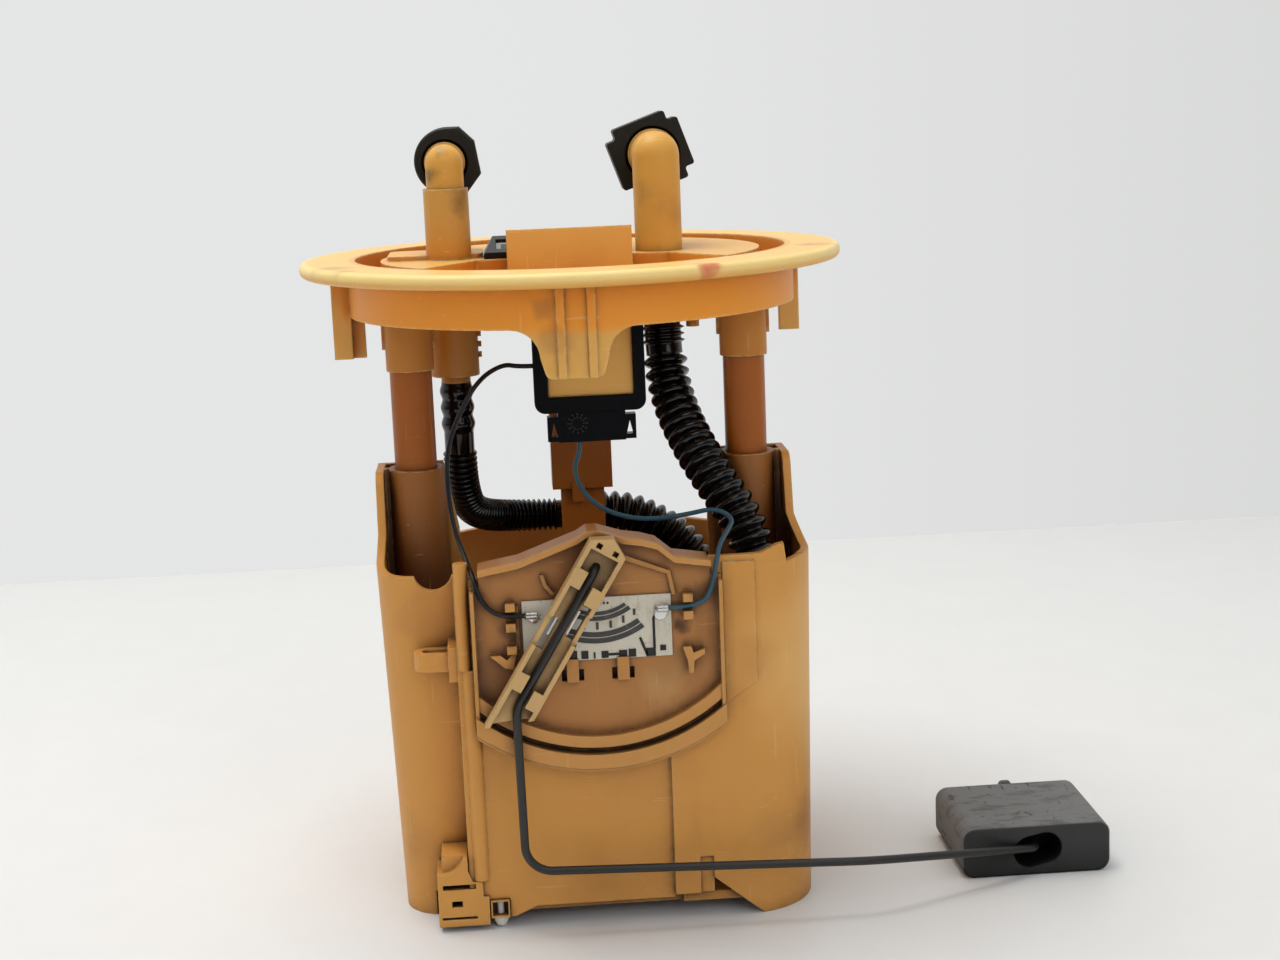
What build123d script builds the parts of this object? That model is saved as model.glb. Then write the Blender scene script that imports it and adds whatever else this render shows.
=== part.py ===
from build123d import *
from math import cos, degrees, radians, sin, sqrt, tan
import os

# In-tank fuel pump module: tank cover on two sprung guide rods, reservoir pot with pump and
# jet pump, and a level sender with its float arm on the front of the pot.
# Millimetres. X to the right, Y to the rear, Z up; the origin is at table level under the cover's axis.

os.makedirs("parts", exist_ok=True)

# ---- clearances ----
fit_gap = 0.05          # round piece fixed in its bore, per side
slide_gap = 0.1         # running fit, per side
seat_gap = 0.1          # flat piece beside its neighbour
soft_gap = 0.3          # rubber or free piece beside its neighbour

# ---- tank cover ----
rim_radius = 77.5
rim_top = 180.7
rim_thickness = 4.0
rim_round = 1.7
channel_floor = 174.0
cover_wall = 2.2
skirt_radius = 64.0
channel_radius = skirt_radius - cover_wall
skirt_bottom = 165.0
plateau_radius = 54.5
plateau_top = 180.0
pocket_back = -14.0
pocket_half_back = 27.0
pocket_half_front = 43.0
pocket_front = -38.0
pad_height = 1.3
pad_left = -52.4
pad_right = -25.2
guard_left = -18.4
guard_right = 16.2
guard_front = -27.0
guard_top = 188.8
guard_wall = 2.0
guard_overlap = 1.5
tab_bottom = 152.0
tab_middle = -2.3
tab_half_low = 7.4
tab_half_high = 16.7
tab_rib_spacing = 8.1
tab_rib_width = 2.2
tab_rib_depth = 0.8
side_tab_bottom = 152.7

# ---- spigots and elbows ----
outlet_height = 206.9
feed_axis = (-34.8, -4.0)
feed_tube_radius = 5.35
feed_socket_radius = 6.4
feed_socket_drop = 6.9
feed_socket_top = outlet_height - feed_socket_drop
feed_socket_depth = 12.0
feed_bore_radius = 2.2
return_axis = (25.4, -4.0)
return_tube_radius = 6.75
return_plug_radius = 5.0
return_bore_radius = 3.0
ring_step = 0.5
ring_front = 4.0
collar_front = 6.0
collar_depth = 10.0
collar_rear_depth = 5.0
spigot_end = 36.0
spigot_bead_step = 1.0
spigot_bead_back = 7.0

# ---- hoses ----
feed_hose_radius = 4.75
feed_nipple_radius = 3.15
feed_boss_radius = 6.95
feed_boss_bottom = 146.5
feed_hose_top = 144.5
feed_nipple_length = 8.0
feed_neck_radius = 4.2
wide_hose_radius = 6.3
wide_nipple_radius = 4.1
return_boss_radius = 6.5
return_hose_top = 168.0
wide_nipple_length = 6.0
wire_radius = 0.65

# ---- guide rods, springs and rail ----
rod_spacing = 94.0
rod_y = -20.0
rod_radius = 5.9
rod_wall = 1.6
rod_bottom = 62.0
rod_seat_top = 174.2
sleeve_radius = 6.7
sleeve_bottom = 150.7
tube_radius = 7.8
tube_bore_bottom = 9.5
spring_radius = 5.4
spring_wall = 1.3
post_centre = 0.9
channel_width = 18.0
channel_wall = 2.0
channel_front = 9.0
channel_depth = 10.0
channel_bottom = 108.7
channel_slot = 6.4
rail_clearance = 0.5
rail_top = 146.0

# ---- plug side of the electrics ----
socket_left = -24.8
socket_right = 14.8
socket_front = -12.0
socket_back = 4.0
socket_front_top = 181.8
socket_back_top = 185.4
socket_lip = 1.8
socket_wall = 1.6
socket_bottom = 171.0
socket_floor = 174.0
seal_wall = 1.4
holder_left = -12.9
holder_right = 18.1
holder_front = -31.4
holder_back = -26.6
holder_bottom = 138.0
tongue_left = -9.0
tongue_right = 14.8
tongue_bottom = 142.4
tongue_front = -30.4
tongue_back = -28.2
plate_left = -6.6
plate_right = 12.2
plate_bottom = 129.6

# ---- reservoir pot ----
pot_wall = 2.2
pot_left_base = -56.0
pot_right_base = 59.3
pot_left_lip = -58.9
pot_right_lip = 60.9
pot_left_top = -58.2
pot_right_top = 58.5
pot_height = 123.0
pot_neck_rise = 7.5
pot_front = -60.0
pot_pad = 1.5
pot_pad_left = 19.0
pad_lip_rise = 3.0
bay_front = -48.0
bay_right = -37.5
bay_round = 12.0
corner_round = 20.5
front_lip = 99.0
back_lip = 90.0
web_thickness = 2.0
web_overlap = 0.5
web_inner_top = 39.6
web_inner_low = 36.0
ledge_width = 1.2
ledge_height = 2.0
floor_bottom = 4.0
floor_thickness = 2.5

# ---- pump ----
pump_axis = (29.5, 17.5)
pump_radius = 19.0
pump_bottom = 19.0
pump_top = 64.0
holder_wall = 1.3
isolator_thickness = 0.7
holder_top = 54.0
pump_outlet = (38.0, 27.0)
jet_axis = (47.6, -42.0)
jet_radius = 8.0
jet_top = 52.0
coupling_y = 28.0
coupling_z = 97.4
coupling_radius = 5.9
coupling_half = 5.0

# ---- level sender ----
pivot = (0.5, 102.5)
plate_back = -61.6
sender_plate = 1.5
wall_front = -66.6
side_left = -33.1
side_right = 34.0
side_wall = 1.0
outer_ridge = 56.9
outer_ridge_width = 4.8
inner_ridge = 50.4
inner_ridge_width = 3.1
roof_back = -56.0
roof_thickness = 1.6
card_thickness = 0.6
card_left = -19.5
card_right = 20.3
card_bottom = 76.0
card_top = 93.0
track_thickness = 0.15
arm_angle = 31.5
arm_width = 10.5
arm_wall = 1.2
arm_back = -67.5
arm_base = 1.4
arm_front = -72.4
arm_top = 6.2
arm_peak = 9.4
arm_length = 51.6
arm_slant = 8.0
float_wire_radius = 1.15
float_wire_y = -70.2
float_size = (42.9, 36.4, 15.0)
float_centre = (123.8, -29.1)
float_pin = (124.2, 7.5)
float_round = 3.7
mouth_depth = 12.0

# ---- derived values ----
rod_half = rod_spacing / 2
tower_back = rod_y + tube_radius - web_overlap + web_thickness
floor_top = floor_bottom + floor_thickness
pad_lip = front_lip + pad_lip_rise
plate_front = plate_back - sender_plate
card_front = plate_front - card_thickness
channel_left = post_centre - channel_width / 2
channel_right = post_centre + channel_width / 2
wire_y = card_front - 1.1
spring_bottom = tube_bore_bottom + seat_gap
wide_bore_radius = wide_nipple_radius + slide_gap
feed_hose_bore = feed_nipple_radius + slide_gap


def facing_front(y, x=0.0, z=0.0):
    # plane whose sketch X and Y are the object's X and Z, extruding towards the front
    return Plane(origin=(x, y, z), x_dir=(1, 0, 0), z_dir=(0, -1, 0))


def block(x, y, z, mode=Mode.ADD):
    # box between the given low and high limits
    with Locations(((x[0] + x[1]) / 2, (y[0] + y[1]) / 2, (z[0] + z[1]) / 2)):
        Box(x[1] - x[0], y[1] - y[0], z[1] - z[0], mode=mode)


def column(place, radius, low, high, mode=Mode.ADD):
    # upright cylinder at a place in plan, between two heights
    with Locations((place[0], place[1], (low + high) / 2)):
        Cylinder(radius, high - low, mode=mode)


def lying_column(place, radius, low, high, mode=Mode.ADD):
    # cylinder along Y at (X, Z), between two depths
    with Locations((place[0], (low + high) / 2, place[1])):
        Cylinder(radius, high - low, rotation=(90, 0, 0), mode=mode)


def bend_radii(route):
    # the largest arc that the two runs beside each corner allow
    points = [Vector(*point) for point in route]
    radii = []
    for before, corner, after in zip(points, points[1:], points[2:]):
        turn = radians((corner - before).get_angle(after - corner))
        shorter = min((corner - before).length, (after - corner).length)
        radii.append(0.45 * shorter / tan(turn / 2))
    return radii


def report_cord(name, part, length, area):
    error = abs(part.volume / (area * length) - 1)
    print(f"{name}: length {length:.1f} mm, volume {part.volume:.0f} mm3, off by {error * 100:.2f} %")


# ---- tank cover ----
def plateau_outline():
    Circle(plateau_radius)
    with BuildLine() as pocket:
        Polyline(
            (-pocket_half_back, pocket_back),
            (pocket_half_back, pocket_back),
            (pocket_half_front, pocket_front),
            (pocket_half_front, -plateau_radius),
            (-pocket_half_front, -plateau_radius),
            (-pocket_half_front, pocket_front),
            close=True,
        )
    make_face(pocket.edges(), mode=Mode.SUBTRACT)


# front tab: a strip of the skirt's wall that runs on below it and flares into its lower edge
with BuildPart() as front_tab:
    with BuildSketch(facing_front(0, tab_middle, tab_bottom)):
        with BuildLine():
            flare_top = skirt_bottom - tab_bottom
            for side in (-1, 1):
                Line((0, 0), (side * tab_half_low, 0))
                Line((side * tab_half_low, 0), (side * (tab_half_low + 1.6), 5.5))
                ThreePointArc(
                    (side * (tab_half_low + 1.6), 5.5),
                    (side * (tab_half_low + 3.6), flare_top - 2.5),
                    (side * tab_half_high, flare_top),
                )
                Line((side * tab_half_high, flare_top), (side * tab_half_high, flare_top + 1))
            Line((-tab_half_high, flare_top + 1), (tab_half_high, flare_top + 1))
        tab_face = make_face()
        fillet(tab_face.vertices().group_by(Axis.Y)[0].filter_by(lambda corner: abs(corner.X) > 1), 1.8)
    extrude(amount=rim_radius)
    column((0, 0), skirt_radius, tab_bottom, rim_top, Mode.INTERSECT)
    column((0, 0), skirt_radius - cover_wall, tab_bottom, rim_top, Mode.SUBTRACT)

with BuildPart() as cover:
    with BuildSketch(Plane.XZ):
        with BuildLine():
            Polyline(
                (0, channel_floor),
                (channel_radius, channel_floor),
                (channel_radius, rim_top),
                (rim_radius, rim_top),
                (rim_radius, rim_top - rim_thickness),
                (skirt_radius, rim_top - rim_thickness),
                (skirt_radius, skirt_bottom),
                (skirt_radius - cover_wall, skirt_bottom),
                (skirt_radius - cover_wall, channel_floor - cover_wall),
                (0, channel_floor - cover_wall),
                close=True,
            )
        make_face()
    revolve(axis=Axis.Z)
    rim_edges = cover.edges().filter_by(GeomType.CIRCLE).sort_by(lambda edge: edge.radius)[-2:]
    fillet(rim_edges, rim_round)

    with BuildSketch(Plane.XY.offset(channel_floor)):
        plateau_outline()
    extrude(amount=plateau_top - channel_floor)
    with BuildSketch(Plane.XY.offset(channel_floor - cover_wall)):
        plateau_outline()
        offset(amount=-cover_wall)
    extrude(amount=plateau_top - channel_floor, mode=Mode.SUBTRACT)

    # raised pad behind the feed elbow
    with BuildSketch(Plane.XY.offset(plateau_top)):
        with Locations(((pad_left + pad_right) / 2, feed_axis[1] + 9)):
            RectangleRounded(pad_right - pad_left, 22, 3)
    extrude(amount=pad_height)

    # plug guard in the front pocket
    guard_x = (guard_left, guard_right)
    block(guard_x, (guard_front, guard_front + guard_wall), (channel_floor, guard_top))
    guard_sides = (
        (guard_left, guard_left + guard_wall),
        (guard_right - guard_wall, guard_right),
    )
    for side in guard_sides:
        with BuildSketch(Plane.YZ.offset(side[0])):
            with BuildLine():
                Polyline(
                    (guard_front, channel_floor),
                    (guard_front, guard_top),
                    (pocket_back + guard_overlap, plateau_top + 2),
                    (pocket_back + guard_overlap, channel_floor),
                    close=True,
                )
            make_face()
        extrude(amount=side[1] - side[0])

    # sleeves for the guide rods, each with two small side ribs
    for side in (-1, 1):
        place = (side * rod_half, rod_y)
        column(place, sleeve_radius, sleeve_bottom, plateau_top - 1)
        sleeve_rib = (place[0] - sleeve_radius - 0.8, place[0] + sleeve_radius + 0.8)
        block(sleeve_rib, (rod_y - 0.7, rod_y + 0.7), (sleeve_bottom + 6, plateau_top - 1))
    for side in (-1, 1):
        place = (side * rod_half, rod_y)
        column(place, rod_radius + fit_gap, sleeve_bottom, rod_seat_top, Mode.SUBTRACT)

    # feed socket above, boss and hose nipple below
    column(feed_axis, feed_socket_radius, plateau_top - 1, feed_socket_top)
    column(feed_axis, feed_boss_radius, feed_boss_bottom, plateau_top - 1)
    column(feed_axis, feed_neck_radius, feed_hose_top, feed_boss_bottom)
    column(feed_axis, feed_nipple_radius, feed_hose_top - feed_nipple_length, feed_hose_top)
    for tooth in range(6):
        tooth_z = feed_boss_bottom + 5 + 3 * tooth
        tooth_x = (feed_axis[0] + feed_boss_radius - 1, feed_axis[0] + feed_boss_radius + 0.9)
        block(tooth_x, (feed_axis[1] - 0.7, feed_axis[1] + 0.7), (tooth_z, tooth_z + 1.5))
    column(
        feed_axis,
        feed_tube_radius + fit_gap,
        feed_socket_top - feed_socket_depth,
        feed_socket_top,
        Mode.SUBTRACT,
    )
    column(
        feed_axis,
        feed_bore_radius,
        feed_hose_top - feed_nipple_length,
        feed_socket_top,
        Mode.SUBTRACT,
    )

    # return boss and hose nipple
    column(return_axis, return_boss_radius, return_hose_top, plateau_top - 1)
    column(return_axis, wide_nipple_radius, return_hose_top - wide_nipple_length, return_hose_top)
    column(
        return_axis,
        return_plug_radius + fit_gap,
        plateau_top - 5,
        plateau_top,
        Mode.SUBTRACT,
    )
    column(
        return_axis,
        return_bore_radius,
        return_hose_top - wide_nipple_length,
        plateau_top,
        Mode.SUBTRACT,
    )

    # opening for the plug socket
    block(
        (socket_left + socket_lip - seat_gap, socket_right - socket_lip + seat_gap),
        (socket_front + socket_lip - seat_gap, socket_back - socket_lip + seat_gap),
        (channel_floor - cover_wall, plateau_top + pad_height),
        Mode.SUBTRACT,
    )

    # tongue that carries the connector holder
    block(
        (tongue_left, tongue_right),
        (tongue_front, tongue_back),
        (tongue_bottom, channel_floor - cover_wall),
    )

    # front tab with two ribs that run up the skirt
    add(front_tab.part)
    for side in (-1, 1):
        rib_x = tab_middle + 0.7 + side * tab_rib_spacing / 2
        block(
            (rib_x - tab_rib_width / 2, rib_x + tab_rib_width / 2),
            (-skirt_radius - tab_rib_depth, -skirt_radius + 1),
            (tab_bottom + 0.1, rim_top - rim_thickness),
        )

    # angled locating tabs at both sides of the skirt
    with BuildSketch(Plane((-skirt_radius, 0, side_tab_bottom))):
        with BuildLine():
            Polyline(
                (-4.9, -6.0), (0.4, -6.0), (0.4, -3.6), (4.0, -3.6), (4.0, -1.4),
                (-0.8, -1.4), (-0.8, 9.0), (-3.0, 9.0), (-3.0, -3.8), (-4.9, -3.8),
                close=True,
            )
        make_face()
    extrude(amount=rim_top - rim_thickness - side_tab_bottom)
    with BuildSketch(Plane((skirt_radius, 0, side_tab_bottom))):
        with BuildLine():
            Polyline(
                (4.6, 17.0), (-1.4, 17.0), (-1.4, 19.2), (0.6, 19.2),
                (0.6, 29.0), (2.8, 29.0), (2.8, 19.2), (4.6, 19.2),
                close=True,
            )
        make_face()
    extrude(amount=rim_top - rim_thickness - side_tab_bottom)

    # small nub under the cover beside the return hose
    nub_axis = (return_axis[0] + 8.9, return_axis[1] - 1.0)
    nub_radius = 1.9
    nub_bottom = skirt_bottom - 7.4
    column(nub_axis, nub_radius, nub_bottom, plateau_top - 1)
cover.part.label = "flange_cover"
export_step(cover.part, "parts/flange_cover.step")

# ---- feed elbow: upright tube, round corner and outlet to the rear ----
with BuildPart() as feed_elbow:
    column(feed_axis, feed_tube_radius, feed_socket_top - feed_socket_depth, outlet_height)
    with Locations((feed_axis[0], feed_axis[1], outlet_height)):
        Sphere(feed_tube_radius)
    feed_outlet = (feed_axis[0], outlet_height)
    lying_column(feed_outlet, feed_tube_radius, feed_axis[1], collar_front + collar_depth)
    lying_column(feed_outlet, feed_tube_radius + ring_step, ring_front, collar_front)
    feed_spigot_radius = feed_tube_radius - 1.35
    lying_column(feed_outlet, feed_spigot_radius, collar_front + collar_depth, spigot_end)
    feed_bead = spigot_end - spigot_bead_back
    lying_column(feed_outlet, feed_spigot_radius + spigot_bead_step, feed_bead - 1.5, feed_bead)
    column(
        feed_axis,
        feed_bore_radius,
        feed_socket_top - feed_socket_depth,
        outlet_height,
        Mode.SUBTRACT,
    )
    lying_column(feed_outlet, feed_bore_radius, feed_axis[1], spigot_end, Mode.SUBTRACT)
feed_elbow.part.label = "feed_elbow"
export_step(feed_elbow.part, "parts/feed_elbow.step")

# ---- return elbow: wider tube with a plug that seats in the cover ----
with BuildPart() as return_elbow:
    column(return_axis, return_tube_radius, plateau_top, outlet_height)
    column(return_axis, return_plug_radius, plateau_top - 4, plateau_top)
    with Locations((return_axis[0], return_axis[1], outlet_height)):
        Sphere(return_tube_radius)
    return_outlet = (return_axis[0], outlet_height)
    lying_column(return_outlet, return_tube_radius, return_axis[1], collar_front + collar_depth)
    lying_column(return_outlet, return_tube_radius + ring_step, ring_front, collar_front)
    return_spigot_radius = return_tube_radius - 1.85
    lying_column(return_outlet, return_spigot_radius, collar_front + collar_depth, spigot_end)
    return_bead = spigot_end - spigot_bead_back
    lying_column(return_outlet, return_spigot_radius + spigot_bead_step, return_bead - 1.5, return_bead)
    column(return_axis, return_bore_radius, plateau_top - 4, outlet_height, Mode.SUBTRACT)
    lying_column(return_outlet, return_bore_radius, return_axis[1], spigot_end, Mode.SUBTRACT)
return_elbow.part.label = "return_elbow"
export_step(return_elbow.part, "parts/return_elbow.step")

# ---- collar on the feed spigot: round on the left, four flats on the right ----
with BuildPart() as feed_collar:
    with BuildSketch(facing_front(collar_front + collar_depth, feed_axis[0] + 0.9, outlet_height + 0.3)):
        with BuildLine():
            CenterArc((0, 0), 9.7, 90, 180)
            Polyline((0, -9.7), (4.8, -9.7), (9.4, -3.9), (7.9, 5.5), (3.6, 9.7), (0, 9.7))
        make_face()
    extrude(amount=collar_depth)
    chamfer(feed_collar.faces().sort_by(Axis.Y)[0].edges(), 0.5)
    lying_column(
        feed_outlet,
        feed_tube_radius + fit_gap,
        collar_front,
        collar_front + collar_depth,
        Mode.SUBTRACT,
    )
    lying_column(
        feed_outlet,
        feed_tube_radius + 1.3,
        collar_front,
        collar_front + collar_depth - collar_rear_depth,
        Mode.SUBTRACT,
    )
feed_collar.part.label = "feed_collar"
export_step(feed_collar.part, "parts/feed_collar.step")

# ---- collar on the return spigot: turned square with notched corners ----
with BuildPart() as return_collar:
    with BuildSketch(facing_front(collar_front + collar_depth)):
        with Locations(Location((return_axis[0] - 0.6, outlet_height + 0.1, 0), (0, 0, 19.6))):
            Rectangle(22.0, 20.5)
            with GridLocations(19.0, 17.5, 2, 2):
                Rectangle(3.0, 3.0, mode=Mode.SUBTRACT)
    extrude(amount=collar_depth)
    upright_edges = return_collar.edges().filter_by(Axis.Y)
    fillet(upright_edges, 0.8)
    lying_column(
        return_outlet,
        return_tube_radius + fit_gap,
        collar_front,
        collar_front + collar_depth,
        Mode.SUBTRACT,
    )
    lying_column(
        return_outlet,
        return_tube_radius + 1.3,
        collar_front,
        collar_front + collar_depth - collar_rear_depth,
        Mode.SUBTRACT,
    )
return_collar.part.label = "return_collar"
export_step(return_collar.part, "parts/return_collar.step")


# ---- plug socket: cup through the cover with a sloping rim ----
def cut_sloping_top(drop):
    slope = (socket_back_top - socket_front_top) / (socket_back - socket_front)
    with BuildSketch(Plane.YZ.offset(socket_left - 1)) as wedge:
        with BuildLine():
            Polyline(
                (socket_front - 1, socket_front_top - drop - slope),
                (socket_back + 1, socket_back_top - drop + slope),
                (socket_back + 1, socket_back_top + 5),
                (socket_front - 1, socket_back_top + 5),
                close=True,
            )
        make_face()
    extrude(wedge.sketch, amount=socket_right - socket_left + 2, mode=Mode.SUBTRACT)


socket_body_x = (socket_left + socket_lip, socket_right - socket_lip)
socket_body_y = (socket_front + socket_lip, socket_back - socket_lip)
socket_cup_x = (socket_body_x[0] + socket_wall, socket_body_x[1] - socket_wall)
socket_cup_y = (socket_body_y[0] + socket_wall, socket_body_y[1] - socket_wall)
with BuildPart() as socket:
    block(socket_body_x, socket_body_y, (socket_bottom, plateau_top))
    with BuildSketch(facing_front(socket_back)):
        with BuildLine():
            Polyline(
                (socket_left, plateau_top + pad_height),
                (socket_left + 2.6, socket_back_top),
                (socket_right - 2.6, socket_back_top),
                (socket_right, plateau_top + pad_height),
                (socket_right, plateau_top),
                (socket_left, plateau_top),
                close=True,
            )
        make_face()
    extrude(amount=socket_back - socket_front)
    cut_sloping_top(0)
    block(socket_cup_x, socket_cup_y, (socket_floor, socket_back_top), Mode.SUBTRACT)
socket.part.label = "connector_socket"
export_step(socket.part, "parts/connector_socket.step")

# ---- grey seal that lines the socket ----
seal_x = (socket_cup_x[0] + seat_gap, socket_cup_x[1] - seat_gap)
seal_y = (socket_cup_y[0] + seat_gap, socket_cup_y[1] - seat_gap)
with BuildPart() as seal:
    block(seal_x, seal_y, (socket_floor, socket_back_top))
    cut_sloping_top(1.0)
    block(
        (seal_x[0] + seal_wall, seal_x[1] - seal_wall),
        (seal_y[0] + seal_wall, seal_y[1] - seal_wall),
        (socket_floor, socket_back_top),
        Mode.SUBTRACT,
    )
seal.part.label = "connector_seal"
export_step(seal.part, "parts/connector_seal.step")

# ---- contact strip with five blades ----
pin_count = 5
pin_pitch = 5.0
pin_height = 5.6
socket_middle = ((socket_left + socket_right) / 2, (socket_front + socket_back) / 2)
with BuildPart() as pins:
    strip_half = pin_pitch * pin_count / 2
    strip_x = (socket_middle[0] - strip_half, socket_middle[0] + strip_half)
    strip_y = (socket_middle[1] - 1.4, socket_middle[1] + 1.4)
    block(strip_x, strip_y, (socket_floor, socket_floor + 1))
    with Locations((socket_middle[0], socket_middle[1], socket_floor + pin_height / 2)):
        with GridLocations(pin_pitch, 1, pin_count, 1):
            Box(2.2, 0.8, pin_height)
pins.part.label = "connector_pins"
export_step(pins.part, "parts/connector_pins.step")

# ---- connector holder: U frame round the tongue, lower plate and two side hooks ----
holder_top_z = channel_floor - cover_wall - seat_gap
with BuildPart() as holder:
    with BuildSketch(facing_front(holder_back)):
        with BuildLine():
            Polyline(
                (holder_left, holder_top_z),
                (holder_left, holder_bottom),
                (holder_right, holder_bottom),
                (holder_right, holder_top_z),
                close=True,
            )
        frame_face = make_face()
        fillet(frame_face.vertices().group_by(Axis.Y)[0], 3.0)
    extrude(amount=holder_back - holder_front)
    block(
        (tongue_left - seat_gap, tongue_right + seat_gap),
        (holder_front, tongue_back + seat_gap),
        (tongue_bottom - seat_gap, holder_top_z),
        Mode.SUBTRACT,
    )
    plate_y = (holder_front + 0.8, holder_back)
    block((plate_left, plate_right), plate_y, (plate_bottom, holder_bottom))
    # open hooks that latch the plug at both sides
    for hook in ((plate_left - 3.0, plate_left), (plate_right, plate_right + 2.9)):
        block(hook, plate_y, (plate_bottom + 0.3, plate_bottom + 7.2))
    for side, corner_x in ((-1, plate_left - 0.2), (1, plate_right + 0.2)):
        with BuildSketch(facing_front(holder_back)):
            with BuildLine():
                Polyline(
                    (corner_x, plate_bottom + 1.6),
                    (corner_x + side * 1.9, plate_bottom + 1.6),
                    (corner_x + side * 1.0, plate_bottom + 5.6),
                    close=True,
                )
            make_face()
        extrude(amount=holder_back - holder_front, mode=Mode.SUBTRACT)
    # date ring on the plate
    with BuildSketch(facing_front(holder_front + 0.8)):
        with Locations((-1.2, plate_bottom + 5.2)):
            Circle(2.3)
            Circle(2.0, mode=Mode.SUBTRACT)
    extrude(amount=0.2)
holder.part.label = "connector_holder"
export_step(holder.part, "parts/connector_holder.step")

# ---- guide rods and their springs ----
for side, side_name in ((-1, "left"), (1, "right")):
    rod_place = (side * rod_half, rod_y)
    with BuildPart() as rod:
        column(rod_place, rod_radius, rod_bottom, rod_seat_top)
        column(rod_place, rod_radius - rod_wall, rod_bottom, rod_seat_top - 2, Mode.SUBTRACT)
        chamfer(rod.faces().sort_by(Axis.Z)[0].edges().sort_by(SortBy.LENGTH)[-1], 0.6)
    rod.part.label = f"guide_rod_{side_name}"
    export_step(rod.part, f"parts/guide_rod_{side_name}.step")

    with BuildPart() as spring:
        column(rod_place, spring_radius, spring_bottom, rod_bottom)
        column(rod_place, spring_radius - spring_wall, spring_bottom, rod_bottom, Mode.SUBTRACT)
    spring.part.label = f"guide_spring_{side_name}"
    export_step(spring.part, f"parts/guide_spring_{side_name}.step")

# ---- rear guide channel, open at the back ----
channel_back = channel_front + channel_depth
with BuildPart() as channel:
    with BuildSketch(Plane.XY.offset(channel_bottom)):
        with Locations((post_centre, channel_front + channel_depth / 2)):
            Rectangle(channel_width, channel_depth)
            Rectangle(
                channel_width - 2 * channel_wall,
                channel_depth - 2 * channel_wall,
                mode=Mode.SUBTRACT,
            )
        with Locations((post_centre, channel_back - channel_wall / 2)):
            Rectangle(channel_slot, channel_wall, mode=Mode.SUBTRACT)
    extrude(amount=channel_floor - cover_wall - channel_bottom)
    block((-2.3, 1.4), (channel_front - 0.8, channel_front), (channel_bottom - 3.9, channel_bottom + 2))
    block((-2.3, 1.4), (channel_front, channel_front + 1), (channel_bottom - 3.9, channel_bottom))
channel.part.label = "guide_channel"
export_step(channel.part, "parts/guide_channel.step")

# ---- narrow rail that the channel slides on ----
rail_half = channel_width / 2 - channel_wall - rail_clearance
rail_front = channel_front + channel_wall + rail_clearance
rail_back = channel_back - channel_wall - rail_clearance
with BuildPart() as rail:
    block((post_centre - rail_half, post_centre + rail_half), (rail_front, rail_back), (floor_top, rail_top))
    chamfer(rail.faces().sort_by(Axis.Z)[-1].edges(), 1.2)
    block(
        (post_centre - rail_half - 6, post_centre + rail_half),
        (rail_front - 5, rail_back + 6),
        (floor_top, floor_top + 3),
    )
rail.part.label = "guide_rail"
export_step(rail.part, "parts/guide_rail.step")

# ---- coupling between the two feed hoses, clipped on the back of the rail ----
lug_half = channel_slot / 2 - rail_clearance
with BuildPart() as coupling:
    with Locations((0, coupling_y, coupling_z)):
        Cylinder(coupling_radius, 2 * coupling_half, rotation=(0, 90, 0))
    with Locations((-coupling_half - 2.5, coupling_y, coupling_z)):
        Cylinder(feed_nipple_radius, 5, rotation=(0, 90, 0))
    with Locations((coupling_half + 2.5, coupling_y, coupling_z)):
        Cylinder(wide_nipple_radius, 5, rotation=(0, 90, 0))
    block(
        (post_centre - lug_half, post_centre + lug_half),
        (rail_back + seat_gap, coupling_y - coupling_radius + 1),
        (coupling_z - 3, coupling_z + 3),
    )
    with Locations((0, coupling_y, coupling_z)):
        Cylinder(feed_bore_radius, 2 * coupling_half + 10, rotation=(0, 90, 0), mode=Mode.SUBTRACT)
coupling.part.label = "hose_coupling"
export_step(coupling.part, "parts/hose_coupling.step")


# ---- reservoir pot ----
pot_levels = (
    (0.0, pot_left_base, pot_right_base),
    (front_lip, pot_left_lip, pot_right_lip),
    (front_lip + pot_neck_rise, pot_left_top, pot_right_top),
    (pot_height, pot_left_top, pot_right_top),
)


def pot_side(height, side):
    # the side walls flare from the floor up to the lip
    base, lip = (pot_left_base, pot_left_lip) if side < 0 else (pot_right_base, pot_right_lip)
    return base + (lip - base) * height / front_lip


def pot_outline(left_side, right_side, inset=0.0):
    # plan of the pot between its sides: recessed bay front left, padded front right, round back
    left = left_side + inset
    right = right_side - inset
    bay_y = bay_front + inset
    bay_x = bay_right + inset
    bay_radius = bay_round - inset
    panel_y = pot_front + inset
    pad_x = pot_pad_left + inset
    pad_y = pot_front - pot_pad + inset
    corner_radius = corner_round - inset
    slant = 1 - sqrt(0.5)
    with BuildLine() as outline:
        Line((left, 0), (left, bay_y + bay_radius))
        ThreePointArc(
            (left, bay_y + bay_radius),
            (left + bay_radius * slant, bay_y + bay_radius * slant),
            (left + bay_radius, bay_y),
        )
        Polyline(
            (left + bay_radius, bay_y),
            (bay_x, bay_y),
            (bay_x, panel_y),
            (pad_x, panel_y),
            (pad_x, pad_y),
            (right - corner_radius, pad_y),
        )
        ThreePointArc(
            (right - corner_radius, pad_y),
            (right - corner_radius * slant, pad_y + corner_radius * slant),
            (right, pad_y + corner_radius),
        )
        Line((right, pad_y + corner_radius), (right, 0))
        ThreePointArc((right, 0), ((left + right) / 2, (right - left) / 2), (left, 0))
    make_face(outline.edges())


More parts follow.
